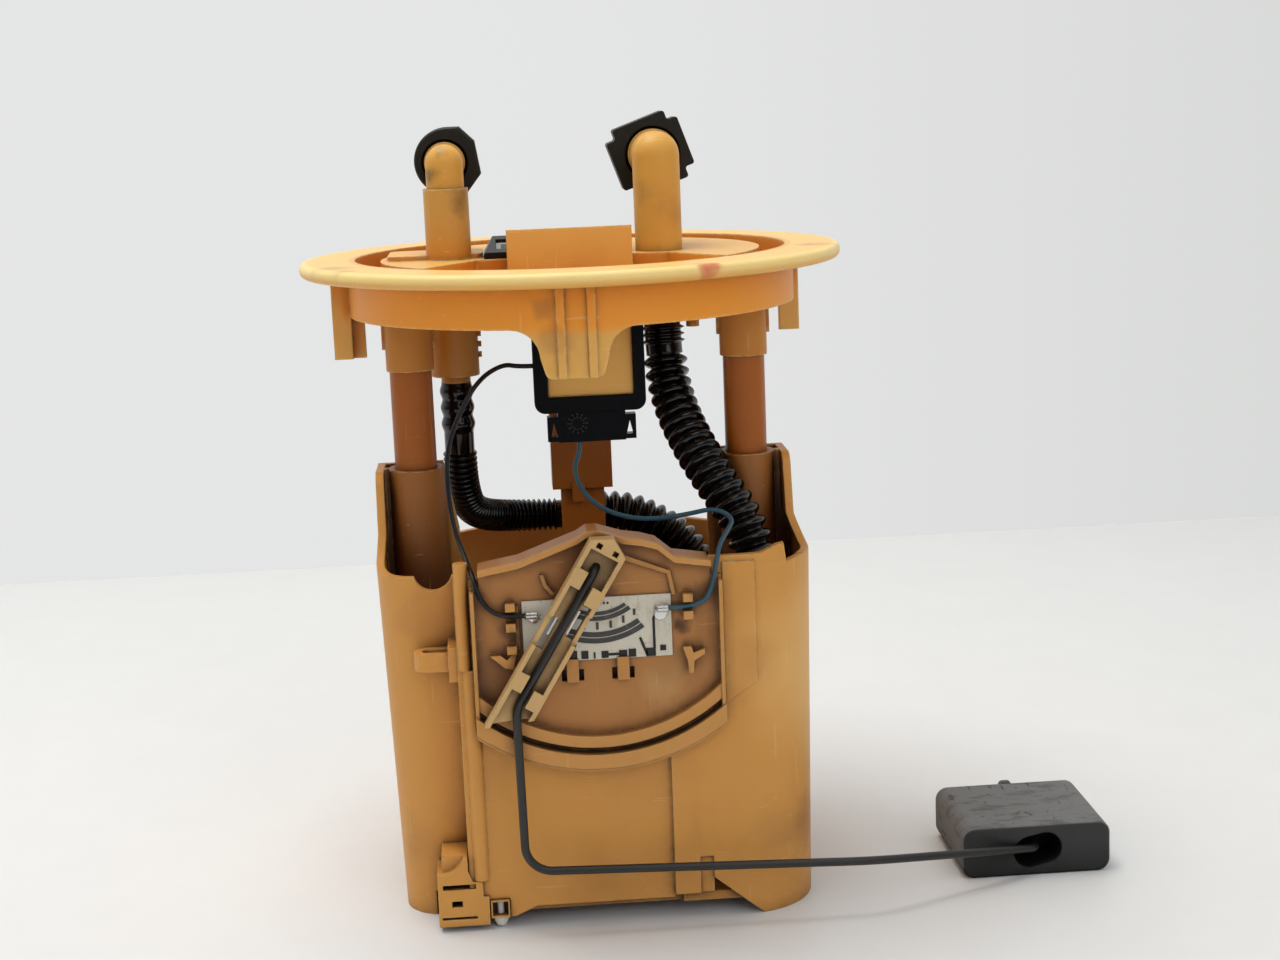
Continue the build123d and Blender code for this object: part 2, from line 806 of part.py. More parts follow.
with BuildPart() as pot:
    for level, left_side, right_side in pot_levels:
        with BuildSketch(Plane.XY.offset(level)):
            pot_outline(left_side, right_side)
    loft(ruled=True)
    for level, left_side, right_side in pot_levels:
        with BuildSketch(Plane.XY.offset(level)):
            pot_outline(left_side, right_side, pot_wall)
    loft(ruled=True, mode=Mode.SUBTRACT)

    # ledge that holds the floor down
    floor_sides = (pot_side(floor_top, -1), pot_side(floor_top, 1))
    with BuildSketch(Plane.XY.offset(floor_top + seat_gap)):
        pot_outline(*floor_sides, pot_wall / 2)
    extrude(amount=ledge_height)
    with BuildSketch(Plane.XY.offset(floor_top + seat_gap)):
        pot_outline(*floor_sides, pot_wall + ledge_width)
    extrude(amount=ledge_height, mode=Mode.SUBTRACT)

    # side view of the lip: low front, walls that sweep up to the towers beside the rods, low back
    above = pot_height + 20
    for side, step_y, lip in ((-1, -52.0, front_lip - 1.6), (1, -50.5, front_lip + 0.3)):
        with BuildSketch(Plane.YZ):
            with BuildLine():
                high = front_lip + (2.8 if side < 0 else 5.0)
                Polyline((-80, high), (step_y, high), (step_y, lip), (-44, lip))
                ThreePointArc((-44, lip), (-36.5, lip + 2.4), (-31.6, lip + 8.8))
                Line((-31.6, lip + 8.8), (-28.6, pot_height - 4))
                ThreePointArc((-28.6, pot_height - 4), (-27.2, pot_height - 1.2), (-24.6, pot_height))
                Polyline((-24.6, pot_height), (tower_back, pot_height), (tower_back, back_lip + 4))
                ThreePointArc(
                    (tower_back, back_lip + 4),
                    (tower_back + 1.2, back_lip + 1.2),
                    (tower_back + 4, back_lip),
                )
                Polyline((tower_back + 4, back_lip), (80, back_lip), (80, above), (-80, above), (-80, high))
            make_face()
        extrude(amount=side * rim_radius, mode=Mode.SUBTRACT)

    # front view of the lip: level panel, higher pad on the right that ends in a hump and a notch
    with BuildSketch(facing_front(-50.5)):
        with BuildLine():
            Polyline(
                (-62, above), (-62, front_lip), (pot_pad_left, front_lip), (pot_pad_left, pad_lip),
                (45.0, pad_lip), (49.8, pad_lip + 1.5), (52.0, pad_lip + 1.5),
                (52.5, front_lip - 0.3), (58.6, front_lip + 0.3), (62, front_lip + 0.3), (62, above),
                close=True,
            )
        make_face()
    extrude(amount=12, mode=Mode.SUBTRACT)
    # soft notch in the lip of the bay
    with BuildSketch(facing_front(bay_front + pot_wall + 1)):
        with Locations((-43.2, front_lip - 0.4)):
            Circle(5.2)
    extrude(amount=pot_wall + 2, mode=Mode.SUBTRACT)
    # lower edge of the front wall: latch opening, level middle and slanted foot
    with BuildSketch(facing_front(-43)):
        with BuildLine():
            Polyline(
                (-47.3, -1), (-47.3, 7.0), (-32.1, 7.0), (-32.1, 8.6), (-26.7, 8.6),
                (-26.7, 3.2), (-25.2, 3.2), (-19.2, 5.8), (18.9, 5.8), (18.9, 7.0), (29.8, 7.0),
                (29.8, 11.4), (43.6, 0), (44.6, -1),
                close=True,
            )
        make_face()
    extrude(amount=20, mode=Mode.SUBTRACT)
    # shallow recess above that edge, and the thin raised panel at the right of the sender
    pad_face = pot_front - pot_pad
    block((26.0, 29.8), (pad_face - 1, pad_face + 0.9), (7.0, 17.6), Mode.SUBTRACT)
    with BuildSketch(facing_front(pad_face + 0.5)):
        with BuildLine():
            Polyline(
                (side_right + 0.5, pad_lip - 1.6),
                (43.2, pad_lip - 1.6),
                (43.2, 67.0),
                (side_right + 0.5, 61.2),
                close=True,
            )
        make_face()
    extrude(amount=1.0)

    # guide tubes, each with a web to the side wall beside it and a wider one behind
    web_bottom = floor_top + 1
    for side in (-1, 1):
        wall_line = [(pot_side(web_bottom, side) - side * pot_wall / 2, web_bottom)]
        for level, left_side, right_side in pot_levels[1:]:
            wall_x = (left_side if side < 0 else right_side) - side * pot_wall / 2
            wall_line.append((wall_x, level))
        tube_side = side * (rod_half + tube_radius - web_overlap)
        with BuildSketch(facing_front(rod_y + web_thickness / 2)):
            with BuildLine():
                Polyline(*wall_line, (tube_side, pot_height), (tube_side, web_bottom), close=True)
            make_face()
        extrude(amount=web_thickness)
        with BuildSketch(facing_front(tower_back)):
            with BuildLine():
                Polyline(
                    *wall_line,
                    (side * web_inner_top, pot_height),
                    (side * web_inner_low, front_lip + 4),
                    (side * web_inner_low, web_bottom),
                    close=True,
                )
            make_face()
        extrude(amount=web_thickness)
        column((side * rod_half, rod_y), tube_radius, web_bottom, pot_height)
    for side in (-1, 1):
        rod_place = (side * rod_half, rod_y)
        column(rod_place, rod_radius + slide_gap, tube_bore_bottom, pot_height, Mode.SUBTRACT)

    # upright round rail on the left of the front panel, in two lengths
    rail_x = -35.4
    rail_step = 74.0
    rail_end = front_lip + 4.4
    column((rail_x, pot_front + 0.5), 1.9, rail_step, rail_end)
    column((rail_x + 1.3, pot_front + 0.8), 2.3, 14.4, rail_step)
    # cable loop beside the rail
    with BuildSketch(Plane.XY.offset(73)):
        with Locations((-42.5, -53)):
            SlotOverall(13.5, 8)
            SlotOverall(9, 3.6, mode=Mode.SUBTRACT)
    extrude(amount=5)
    block((bay_right - 2.4, bay_right + 1), (pot_front + 1, bay_front), (70.5, 80))
pot.part.label = "reservoir_pot"
export_step(pot.part, "parts/reservoir_pot.step")

valve_axis = (-29.4, -58.0)
valve_stem_radius = 0.9
valve_top = 8.6
valve_foot = 0.3
valve_cup_radius = 2.6
valve_cup_height = 3.0
latch_bottom = 1.6

# ---- floor of the pot with its snap latch at the front left ----
with BuildPart() as bottom:
    with BuildSketch(Plane.XY.offset(floor_bottom)):
        pot_outline(pot_left_base, pot_right_base, pot_wall + seat_gap)
    extrude(amount=floor_thickness)
    with Locations((0, 0, floor_bottom / 2)):
        Cylinder(14, floor_bottom)
        Cylinder(11, floor_bottom, mode=Mode.SUBTRACT)
    column((0, 0), 4.5, 0, floor_bottom)
    with PolarLocations(0, 3):
        with Locations((8, 0, floor_bottom / 2)):
            Box(9, 1.6, floor_bottom)
    # latch in front of the bay: block with a hollowed top, taller plate behind it, and slots
    latch_right = bay_right - 0.3
    with BuildSketch(facing_front(bay_front - 0.6)):
        with BuildLine():
            Polyline((-46.3, 16.7), (-46.3, latch_bottom), (latch_right, latch_bottom), (latch_right, 21.4))
            Line((latch_right, 21.4), (-38.9, 21.4))
            ThreePointArc((-38.9, 21.4), (-41.6, 17.8), (-46.3, 16.7))
        make_face()
    extrude(amount=bay_front - 0.6 + 61)
    block((-44.9, latch_right), (-58.8, bay_front - 0.6), (latch_bottom, 21.4))
    with BuildSketch(facing_front(-60.1)):
        with BuildLine():
            Polyline(
                (latch_right, latch_bottom), (-32.4, latch_bottom), (-32.4, 9.8), (-33.9, 9.8),
                (-33.9, 14.2), (-36.6, 14.2), (latch_right, 17.3),
                close=True,
            )
        make_face()
    extrude(amount=0.9)
    block((-44.9, -35.8), (-62, -56), (12.2, 13.6), Mode.SUBTRACT)
    block((-42.6, -39.7), (-62, -56), (7.2, 8.9), Mode.SUBTRACT)
    block((-45.4, -35.8), (-62, -58), (3.6, 4.3), Mode.SUBTRACT)
    block((-46.2, bay_right - 0.8), (bay_front - 1.6, bay_front + 5), (floor_bottom, floor_top))
    # boss with a square hole that carries the foot valve
    block((-32.0, -26.9), (-61, -56.5), (3.4, 8.4))
    block((-31.6, -27.3), (-61, -56.9), (3.9, 8.0), Mode.SUBTRACT)
    block((-32.0, -26.9), (-57, -54), (floor_bottom, floor_top))
    column(valve_axis, valve_stem_radius + fit_gap, floor_bottom - 0.6, valve_top, Mode.SUBTRACT)
bottom.part.label = "bottom_cover"
export_step(bottom.part, "parts/bottom_cover.step")

# ---- white foot valve under the boss ----
with BuildPart() as valve:
    column(valve_axis, valve_stem_radius, valve_foot, valve_top)
    with Locations((valve_axis[0], valve_axis[1], valve_foot + valve_cup_height / 2)):
        Cone(valve_cup_radius / 2, valve_cup_radius, valve_cup_height)
    fillet(valve.faces().sort_by(Axis.Z)[0].edges(), 0.6)
valve.part.label = "inlet_valve"
export_step(valve.part, "parts/inlet_valve.step")

# ---- intake strainer on the pot floor under the pump ----
strainer_radius = 16.0
strainer_height = 5.0
with BuildPart() as strainer:
    column(pump_axis, strainer_radius, floor_top, floor_top + strainer_height)
    column(pump_axis, strainer_radius - 1.6, floor_top, floor_top + strainer_height, Mode.SUBTRACT)
    for turn in (0, 60, 120):
        rib_place = (pump_axis[0], pump_axis[1], floor_top + strainer_height - 0.8)
        with Locations(Location(rib_place, (0, 0, turn))):
            Box(2 * strainer_radius - 1, 1.4, 1.6)
    column(pump_axis, 5.0, floor_top + strainer_height - 1.6, floor_top + strainer_height)
    column(pump_axis, 3.2, floor_top, floor_top + strainer_height, Mode.SUBTRACT)
strainer.part.label = "strainer_frame"
export_step(strainer.part, "parts/strainer_frame.step")

with BuildPart() as mesh:
    column(pump_axis, strainer_radius - 1.6 - fit_gap, floor_top + 1.2, floor_top + 2.0)
mesh.part.label = "strainer_mesh"
export_step(mesh.part, "parts/strainer_mesh.step")

# ---- electric pump: can, lower inlet and outlet cap ----
with BuildPart() as can:
    column(pump_axis, pump_radius, pump_bottom, pump_top)
    chamfer(can.edges().filter_by(GeomType.CIRCLE), 1.5)
can.part.label = "pump_can"
export_step(can.part, "parts/pump_can.step")

with BuildPart() as inlet:
    column(pump_axis, 9.0, pump_bottom - 3, pump_bottom)
    column(pump_axis, 3.1, floor_top + 2.4, pump_bottom - 3)
    column(pump_axis, 2.0, floor_top + 2.4, pump_bottom, Mode.SUBTRACT)
inlet.part.label = "pump_inlet"
export_step(inlet.part, "parts/pump_inlet.step")

with BuildPart() as cap:
    column(pump_axis, pump_radius - 1.6, pump_top, pump_top + 4.5)
    chamfer(cap.faces().sort_by(Axis.Z)[-1].edges(), 1.2)
    column(pump_outlet, wide_nipple_radius + 1.2, pump_top + 2, pump_top + 5)
    column(pump_outlet, wide_nipple_radius, pump_top + 5, pump_top + 8.5)
    column(pump_outlet, feed_bore_radius, pump_top + 2, pump_top + 8.5, Mode.SUBTRACT)
cap.part.label = "pump_cap"
export_step(cap.part, "parts/pump_cap.step")

# ---- pump holder: windowed sleeve on the pot floor, with two rubber rings round the can ----
holder_bore = pump_radius + isolator_thickness + 2 * fit_gap
with BuildPart() as pump_holder:
    column(pump_axis, holder_bore + holder_wall, floor_top, holder_top)
    column(pump_axis, holder_bore, floor_top, holder_top, Mode.SUBTRACT)
    with Locations((pump_axis[0], pump_axis[1], (floor_top + holder_top) / 2 + 1)):
        with PolarLocations(holder_bore, 4, start_angle=45):
            Box(6, 16, holder_top - floor_top - 16, mode=Mode.SUBTRACT)
pump_holder.part.label = "pump_holder"
export_step(pump_holder.part, "parts/pump_holder.step")

for isolator_name, isolator_low in (("lower", pump_bottom + 2), ("upper", holder_top - 7)):
    with BuildPart() as isolator:
        column(pump_axis, pump_radius + fit_gap + isolator_thickness, isolator_low, isolator_low + 5)
        column(pump_axis, pump_radius + fit_gap, isolator_low, isolator_low + 5, Mode.SUBTRACT)
    isolator.part.label = f"isolator_{isolator_name}"
    export_step(isolator.part, f"parts/isolator_{isolator_name}.step")

# ---- jet pump: the return flow draws fuel into the pot through it ----
jet_bore = 4.6
with BuildPart() as jet:
    column(jet_axis, jet_radius, floor_top, jet_top)
    column(jet_axis, wide_nipple_radius, jet_top, jet_top + wide_nipple_length)
    with Locations((jet_axis[0] - 12, jet_axis[1], floor_top + 6)):
        Cylinder(5.0, 24, rotation=(0, 90, 0))
    column(jet_axis, jet_bore, floor_top + 3, jet_top - 12, Mode.SUBTRACT)
    column(jet_axis, 2.6, floor_top + 3, jet_top + wide_nipple_length, Mode.SUBTRACT)
    with Locations((jet_axis[0] - 12, jet_axis[1], floor_top + 6)):
        Cylinder(2.8, 24, rotation=(0, 90, 0), mode=Mode.SUBTRACT)
jet.part.label = "jet_pump_body"
export_step(jet.part, "parts/jet_pump_body.step")

with BuildPart() as nozzle:
    column(jet_axis, jet_bore - fit_gap, jet_top - 16, jet_top - 12)
    with Locations((jet_axis[0], jet_axis[1], jet_top - 20)):
        Cone(1.6, 3.4, 8)
    column(jet_axis, 1.0, jet_top - 24, jet_top - 12, Mode.SUBTRACT)
nozzle.part.label = "jet_nozzle"
export_step(nozzle.part, "parts/jet_nozzle.step")

# ---- sender bracket: sector plate, two arc ridges, side walls and a peaked roof ----
bracket_mid = (side_left + side_right) / 2
bracket_width = side_right - side_left
roof_line = (
    (side_left, 102.0), (-20.0, 104.2), (-4.0, 110.0), (-1.4, 111.6), (1.4, 111.6), (8.0, 109.4),
    (13.0, 108.6), (17.0, 107.4), (21.5, 103.6), (side_right, 101.6),
)
wall_top = 96.5
notch_bottom = 97.4


def sector_band(outer, width, depth):
    with BuildSketch(facing_front(plate_front)) as band:
        with Locations(pivot):
            Circle(outer)
            Circle(outer - width, mode=Mode.SUBTRACT)
        with Locations((bracket_mid, 45)):
            Rectangle(bracket_width, 50, mode=Mode.INTERSECT)
    extrude(band.sketch, amount=depth)


with BuildPart() as bracket:
    with BuildSketch(facing_front(plate_back)):
        with Locations(pivot):
            Circle(outer_ridge)
        with Locations((bracket_mid, 70)):
            Rectangle(bracket_width, 62, mode=Mode.INTERSECT)
        with BuildLine():
            Polyline((side_right, 90), (side_left, 90), *roof_line, close=True)
        make_face()
    extrude(amount=sender_plate)
    sector_band(outer_ridge, outer_ridge_width, plate_front - wall_front)
    sector_band(outer_ridge - 0.9, outer_ridge_width - 0.9, plate_front - wall_front + 0.7)
    sector_band(inner_ridge, inner_ridge_width, plate_front - wall_front - 0.4)
    for wall_x in ((side_left, side_left + side_wall), (side_right - side_wall, side_right)):
        block(wall_x, (wall_front, plate_front), (58, wall_top))
    with BuildSketch(facing_front(roof_back)):
        with BuildLine():
            under_roof = [(x, z - roof_thickness) for x, z in reversed(roof_line)]
            Polyline(*roof_line, *under_roof, close=True)
        make_face()
    extrude(amount=roof_back - wall_front)
    # inner rib under the right half of the roof
    with BuildSketch(facing_front(plate_front)):
        with BuildLine():
            Polyline(
                (6.5, 103.6), (19.5, 98.6), (20.6, 92.8),
                (21.6, 92.8), (20.4, 99.4), (7.0, 104.8),
                close=True,
            )
        make_face()
        with BuildLine():
            Polyline(
                (-14.4, 100.0), (-13.4, 96.8), (-11.2, 94.2),
                (-10.6, 94.8), (-12.5, 97.2), (-13.4, 100.2),
                close=True,
            )
        make_face()
    extrude(amount=1.2)
    # notches where the two wires come over the edge
    for notch_x in ((side_left - 1, side_left + 2.4), (side_right - 2.8, side_right + 1)):
        block(notch_x, (wall_front - 1, roof_back + 1), (notch_bottom, 112), Mode.SUBTRACT)
    # the right end of the roof stays in front of the pot's higher pad
    block(
        (pot_pad_left - seat_gap, side_right + 1),
        (plate_back, roof_back + 1),
        (notch_bottom, pad_lip + seat_gap),
        Mode.SUBTRACT,
    )
    # clip posts beside the card
    post_y = (plate_front - 3.4, plate_front)
    for post_x, post_z in ((-22.6, 92.1), (-22.6, 86.6), (-22.6, 80.4), (24.7, 92.2), (24.7, 87.4)):
        block((post_x - 1.3, post_x + 1.3), post_y, (post_z - 1.1, post_z + 1.1))
    block((-21.2, -20.5), (plate_front - 0.8, plate_front), (80, 92))
    # tapered lugs at both sides
    with BuildSketch(facing_front(plate_front)):
        with BuildLine():
            Polyline(
                (-28.6, 79.0), (-25.8, 79.0), (-24.0, 77.6), (-22.4, 79.6),
                (-21.4, 79.6), (-22.4, 75.0), (-24.6, 75.4),
                close=True,
            )
        make_face()
        with BuildLine():
            Polyline(
                (23.0, 78.6), (25.2, 78.6), (25.8, 76.8), (28.8, 77.8), (28.8, 76.4),
                (26.0, 74.6), (25.6, 71.2), (24.4, 71.2), (24.2, 74.6),
                close=True,
            )
        make_face()
    extrude(amount=2.6)
    # pivot boss for the wire end
    lying_column(pivot, 3.4, arm_back + soft_gap, plate_front)
    lying_column(pivot, float_wire_radius + fit_gap, arm_back - 1, plate_back, Mode.SUBTRACT)
    # windows with snap hooks at the lower edge of the card
    for window_x in (-6.7, 6.9):
        block((window_x - 3.0, window_x + 3.0), (plate_front, plate_back), (70.2, 73.4), Mode.SUBTRACT)
        hook_span = (window_x - 1.6, window_x + 1.6)
        block(hook_span, (card_front - 0.9, plate_back), (70.2, card_bottom - seat_gap))
        block(hook_span, (card_front - 0.9, card_front - seat_gap), (70.9, card_bottom + 0.5))
bracket.part.label = "sender_bracket"
export_step(bracket.part, "parts/sender_bracket.step")

# ---- resistor card with two printed tracks ----
with BuildPart() as card:
    block((card_left, card_right), (card_front, plate_front), (card_bottom, card_top))
card.part.label = "sender_card"
export_step(card.part, "parts/sender_card.step")

with BuildPart() as tracks:
    with BuildSketch(facing_front(card_front)):
        for track_radius, track_width in ((15.6, 2.6), (22.0, 3.0)):
            with Locations(pivot):
                Circle(track_radius)
                Circle(track_radius - track_width, mode=Mode.SUBTRACT)
        with Locations((pivot[0] + 1.5, (card_bottom + card_top) / 2)):
            Rectangle(21, card_top - card_bottom - 2, mode=Mode.INTERSECT)
        with Locations((pivot[0] + 1.5, pivot[1] - 17)):
            with GridLocations(4.2, 1, 4, 1):
                Rectangle(1.0, 8.0)
    extrude(amount=track_thickness)
tracks.part.label = "card_tracks"
export_step(tracks.part, "parts/card_tracks.step")

solder_left = (-17.0, 89.4)
solder_right = (18.0, 89.4)
solder_radius = 1.1
solder_length = 3.6
solder_chamfer = 0.4
with BuildPart() as solder_joint_left:
    with Locations((solder_left[0], wire_y, solder_left[1])):
        Cylinder(solder_radius, solder_length, rotation=(0, 90, 0))
    chamfer(solder_joint_left.edges().filter_by(GeomType.CIRCLE), solder_chamfer)
solder_joint_left.part.label = "solder_joint_left"
export_step(solder_joint_left.part, "parts/solder_joint_left.step")

with BuildPart() as solder_joint_right:
    with Locations((solder_right[0], wire_y, solder_right[1])):
        Cylinder(solder_radius, solder_length, rotation=(0, 90, 0))
    chamfer(solder_joint_right.edges().filter_by(GeomType.CIRCLE), solder_chamfer)
solder_joint_right.part.label = "solder_joint_right"
export_step(solder_joint_right.part, "parts/solder_joint_right.step")

# ---- wiper arm: channel open to the front, with clips over the float wire ----
arm_plane = Plane(
    origin=(pivot[0], arm_back, pivot[1]),
    x_dir=(cos(radians(arm_angle)), 0, -sin(radians(arm_angle))),
    z_dir=(0, -1, 0),
)
arm_half = arm_width / 2
with BuildPart() as arm:
    with BuildSketch(arm_plane):
        with BuildLine():
            Polyline(
                (-arm_half, -arm_length),
                (arm_half, arm_slant - arm_length),
                (arm_half, arm_top),
                (0, arm_peak),
                (-arm_half, arm_top),
                close=True,
            )
        make_face()
    extrude(amount=arm_back - arm_front)
    with BuildSketch(arm_plane.offset(arm_base)):
        with Locations((0, -arm_length / 2)):
            Rectangle(arm_width - 2 * arm_wall, arm_length + 9)
    extrude(amount=arm_back - arm_front, mode=Mode.SUBTRACT)
    # stepped windows half way down and square holes at the top
    with BuildSketch(arm_plane):
        with Locations((-2.9, -21.5), (2.9, -15.5)):
            Rectangle(2.2, 9.5)
        with Locations((-2.4, 6.0), (2.4, 6.0)):
            Rectangle(1.5, 1.5)
    extrude(amount=arm_back - arm_front, mode=Mode.SUBTRACT)
    with BuildSketch(arm_plane.offset(arm_base + 1.4)):
        with Locations((-arm_half, -21.0), (arm_half, -16.5)):
            Rectangle(2 * arm_wall + 0.2, 9.0)
    extrude(amount=arm_back - arm_front, mode=Mode.SUBTRACT)
    # pairs of clips that reach in from the walls over the wire
    clip_base = arm_back - float_wire_y + float_wire_radius + seat_gap
    with BuildSketch(arm_plane.offset(clip_base)):
        for clip_left, clip_right in ((-4.2, -7.2), (-36.0, -39.0)):
            with Locations((-arm_half + 1.9, clip_left), (arm_half - 1.9, clip_right)):
                Rectangle(3.8, 5.2)
    extrude(amount=1.0)
    # hole and groove for the bend of the wire
    with BuildSketch(arm_plane):
        Circle(float_wire_radius + fit_gap)
        with Locations((0, -2)):
            Rectangle(2 * (float_wire_radius + fit_gap), 4)
    extrude(amount=arm_base, mode=Mode.SUBTRACT)
arm.part.label = "wiper_arm"
export_step(arm.part, "parts/wiper_arm.step")

# ---- wiper contacts under the arm ----
with BuildPart() as contacts:
    with BuildSketch(arm_plane):
        with Locations((0, -17.5)):
            Rectangle(5.0, 9.6)
            with Locations((0, -0.2)):
                Rectangle(0.8, 7.6, mode=Mode.SUBTRACT)
    extrude(amount=-0.4)
    with BuildSketch(arm_plane.offset(-0.4)):
        with Locations((-1.4, -14.3), (1.4, -14.3), (-1.4, -20.5), (1.4, -20.5)):
            Rectangle(1.2, 1.2)
    extrude(amount=-(card_front - track_thickness - soft_gap - arm_back - 0.4), taper=8)
contacts.part.label = "wiper_contacts"
export_step(contacts.part, "parts/wiper_contacts.step")

# ---- float wire: pivot end, along the arm, down the front, across to the float ----
float_front = float_centre[1] - float_size[1] / 2
float_back = float_centre[1] + float_size[1] / 2
wire_drop_x = -22.3
wire_low_z = 19.9
wire_route = (
    (pivot[0], plate_back, pivot[1]),
    (pivot[0], float_wire_y, pivot[1]),
    (wire_drop_x, float_wire_y, pivot[1] - (pivot[0] - wire_drop_x) / tan(radians(arm_angle))),
    (wire_drop_x + 0.5, float_wire_y, wire_low_z),
    (72.0, float_wire_y + 0.6, 16.4),
    (float_pin[0], float_front + 1.6, float_pin[1]),
    (float_pin[0], float_back + 4.0, float_pin[1]),
)
wire_bends = (2.4, 8.0, 7.5, 40.0, 3.2)
with BuildPart() as float_wire:
    with BuildLine() as wire_path:
        FilletPolyline(*wire_route, radius=list(wire_bends))
    with BuildSketch(Plane(origin=wire_route[0], z_dir=(0, -1, 0))):
        Circle(float_wire_radius)
    sweep(path=wire_path.line)
float_wire.part.label = "float_wire"
export_step(float_wire.part, "parts/float_wire.step")

# ---- cap on the free end of the wire ----
with BuildPart() as wire_cap:
    block(
        (float_pin[0] - 1.9, float_pin[0] + 1.9),
        (float_back + soft_gap, float_back + 2.6),
        (float_pin[1] - 2.6, float_size[2]),
    )
    fillet(wire_cap.edges().filter_by(Axis.Y).group_by(Axis.Z)[-1], 1.2)
    lying_column(float_pin, float_wire_radius + fit_gap, float_back, float_back + 5, Mode.SUBTRACT)
wire_cap.part.label = "wire_cap"
export_step(wire_cap.part, "parts/wire_cap.step")

# ---- float: rounded block with an oval mouth where the wire turns in ----
with BuildPart() as float_part:
    with BuildSketch(Plane.YZ.offset(float_centre[0] - float_size[0] / 2)):
        with Locations((float_centre[1], float_size[2] / 2)):
            Rectangle(float_size[1], float_size[2])
    extrude(amount=float_size[0])
    fillet(float_part.edges().filter_by(Axis.Y), float_round)
    fillet(float_part.edges().filter_by(Axis.X), 0.8)
    with BuildSketch(facing_front(float_front + mouth_depth)):
        with Locations((float_pin[0], float_pin[1])):
            SlotOverall(14.0, 9.4, rotation=12)
    extrude(amount=mouth_depth, mode=Mode.SUBTRACT)
    lying_column(float_pin, float_wire_radius + slide_gap, float_front, float_back, Mode.SUBTRACT)
float_part.part.label = "float_block"
export_step(float_part.part, "parts/float_block.step")


# ---- hoses and wires, as plain tubes along their routes ----
def cord(route, radius, bore=0.0):
    start = Vector(*route[0])
    heading = Vector(*route[1]) - start
    with BuildPart() as tube:
        with BuildLine() as path:
            FilletPolyline(*route, radius=bend_radii(route))
        with BuildSketch(Plane(origin=start, z_dir=heading)):
            Circle(radius)
            if bore:
                Circle(bore, mode=Mode.SUBTRACT)
        sweep(path=path.line)
    return tube, sum(edge.length for edge in path.edges())


hose_area = 3.14159 * (wide_hose_radius**2 - wide_bore_radius**2)
feed_route = (
    (feed_axis[0], feed_axis[1], feed_hose_top),
    (feed_axis[0], feed_axis[1], 127.0),
    (-34.9, 0.5, 113.0),
    (-32.6, 11.5, 102.4),
    (-21.0, coupling_y, coupling_z),
    (-coupling_half, coupling_y, coupling_z),
)
feed_hose, feed_length = cord(feed_route, feed_hose_radius, feed_hose_bore)
feed_hose.part.label = "feed_hose"
export_step(feed_hose.part, "parts/feed_hose.step")
feed_area = 3.14159 * (feed_hose_radius**2 - feed_hose_bore**2)
report_cord("feed_hose", feed_hose.part, feed_length, feed_area)

pump_route = (
    (coupling_half, coupling_y, coupling_z),
    (coupling_half + 7.5, coupling_y, coupling_z),
    (20.8, coupling_y, 94.4),
    (28.2, coupling_y - 0.2, 89.6),
    (34.4, coupling_y - 0.6, 82.8),
    (pump_outlet[0], pump_outlet[1], 75.8),
    (pump_outlet[0], pump_outlet[1], pump_top + 5),
)
pump_hose, pump_length = cord(pump_route, wide_hose_radius, wide_bore_radius)
pump_hose.part.label = "pump_hose"
export_step(pump_hose.part, "parts/pump_hose.step")
report_cord("pump_hose", pump_hose.part, pump_length, hose_area)

return_route = (
    (return_axis[0], return_axis[1], return_hose_top),
    (return_axis[0], return_axis[1], 151.5),
    (27.2, -10.0, 136.6),
    (32.0, -23.5, 124.8),
    (37.4, -32.5, 115.8),
    (42.6, -38.0, 107.6),
    (46.2, -41.5, 97.5),
    (47.3, -42.2, 85.5),
    (jet_axis[0], jet_axis[1], 71.0),
    (jet_axis[0], jet_axis[1], jet_top),
)
return_hose, return_length = cord(return_route, wide_hose_radius, wide_bore_radius)
return_hose.part.label = "return_hose"
export_step(return_hose.part, "parts/return_hose.step")
report_cord("return_hose", return_hose.part, return_length, hose_area)

wire_area = 3.14159 * wire_radius**2
signal_route = (
    (holder_left, -29.0, 151.3),
    (holder_left - 4.0, -29.0, 151.3),
    (-21.0, -33.5, 152.8),
    (-27.6, -39.5, 150.0),
    (-33.1, -43.5, 142.2),
    (-37.4, -45.0, 132.0),
    (-37.9, -45.5, 121.0),
    (-36.4, -49.0, 109.5),
    (-33.4, -56.0, 102.6),
    (-32.2, -62.2, 100.6),
    (-31.1, -65.1, 96.4),
    (-28.6, -65.2, 91.8),
    (-24.6, wire_y, 89.4),
    (solder_left[0] - solder_length / 2, wire_y, solder_left[1]),
)
signal_wire, signal_length = cord(signal_route, wire_radius)
signal_wire.part.label = "signal_wire"
export_step(signal_wire.part, "parts/signal_wire.step")
report_cord("signal_wire", signal_wire.part, signal_length, wire_area)

ground_route = (
    (-0.8, -29.0, plate_bottom),
    (-0.8, -29.0, plate_bottom - 3.0),
    (-3.0, -32.5, 122.6),
    (-1.4, -37.0, 117.2),
    (3.2, -41.0, 112.8),
    (10.0, -43.5, 110.2),
    (18.0, -44.5, 109.3),
    (27.0, -46.0, 110.6),
    (34.6, -48.0, 112.4),
    (39.4, -50.5, 109.8),
    (37.0, -56.0, 107.6),
    (34.0, -61.6, 105.2),
    (32.5, -64.6, 99.4),
    (31.3, -65.2, 94.2),
    (28.4, wire_y, 89.4),
    (solder_right[0] + solder_length / 2, wire_y, solder_right[1]),
)
ground_wire, ground_length = cord(ground_route, wire_radius)
ground_wire.part.label = "ground_wire"
export_step(ground_wire.part, "parts/ground_wire.step")
report_cord("ground_wire", ground_wire.part, ground_length, wire_area)

for route_name, route in (
    ("feed_hose", feed_route),
    ("pump_hose", pump_route),
    ("return_hose", return_route),
    ("signal_wire", signal_route),
    ("ground_wire", ground_route),
):
    print(route_name, "bend radii", [round(radius, 1) for radius in bend_radii(route)])
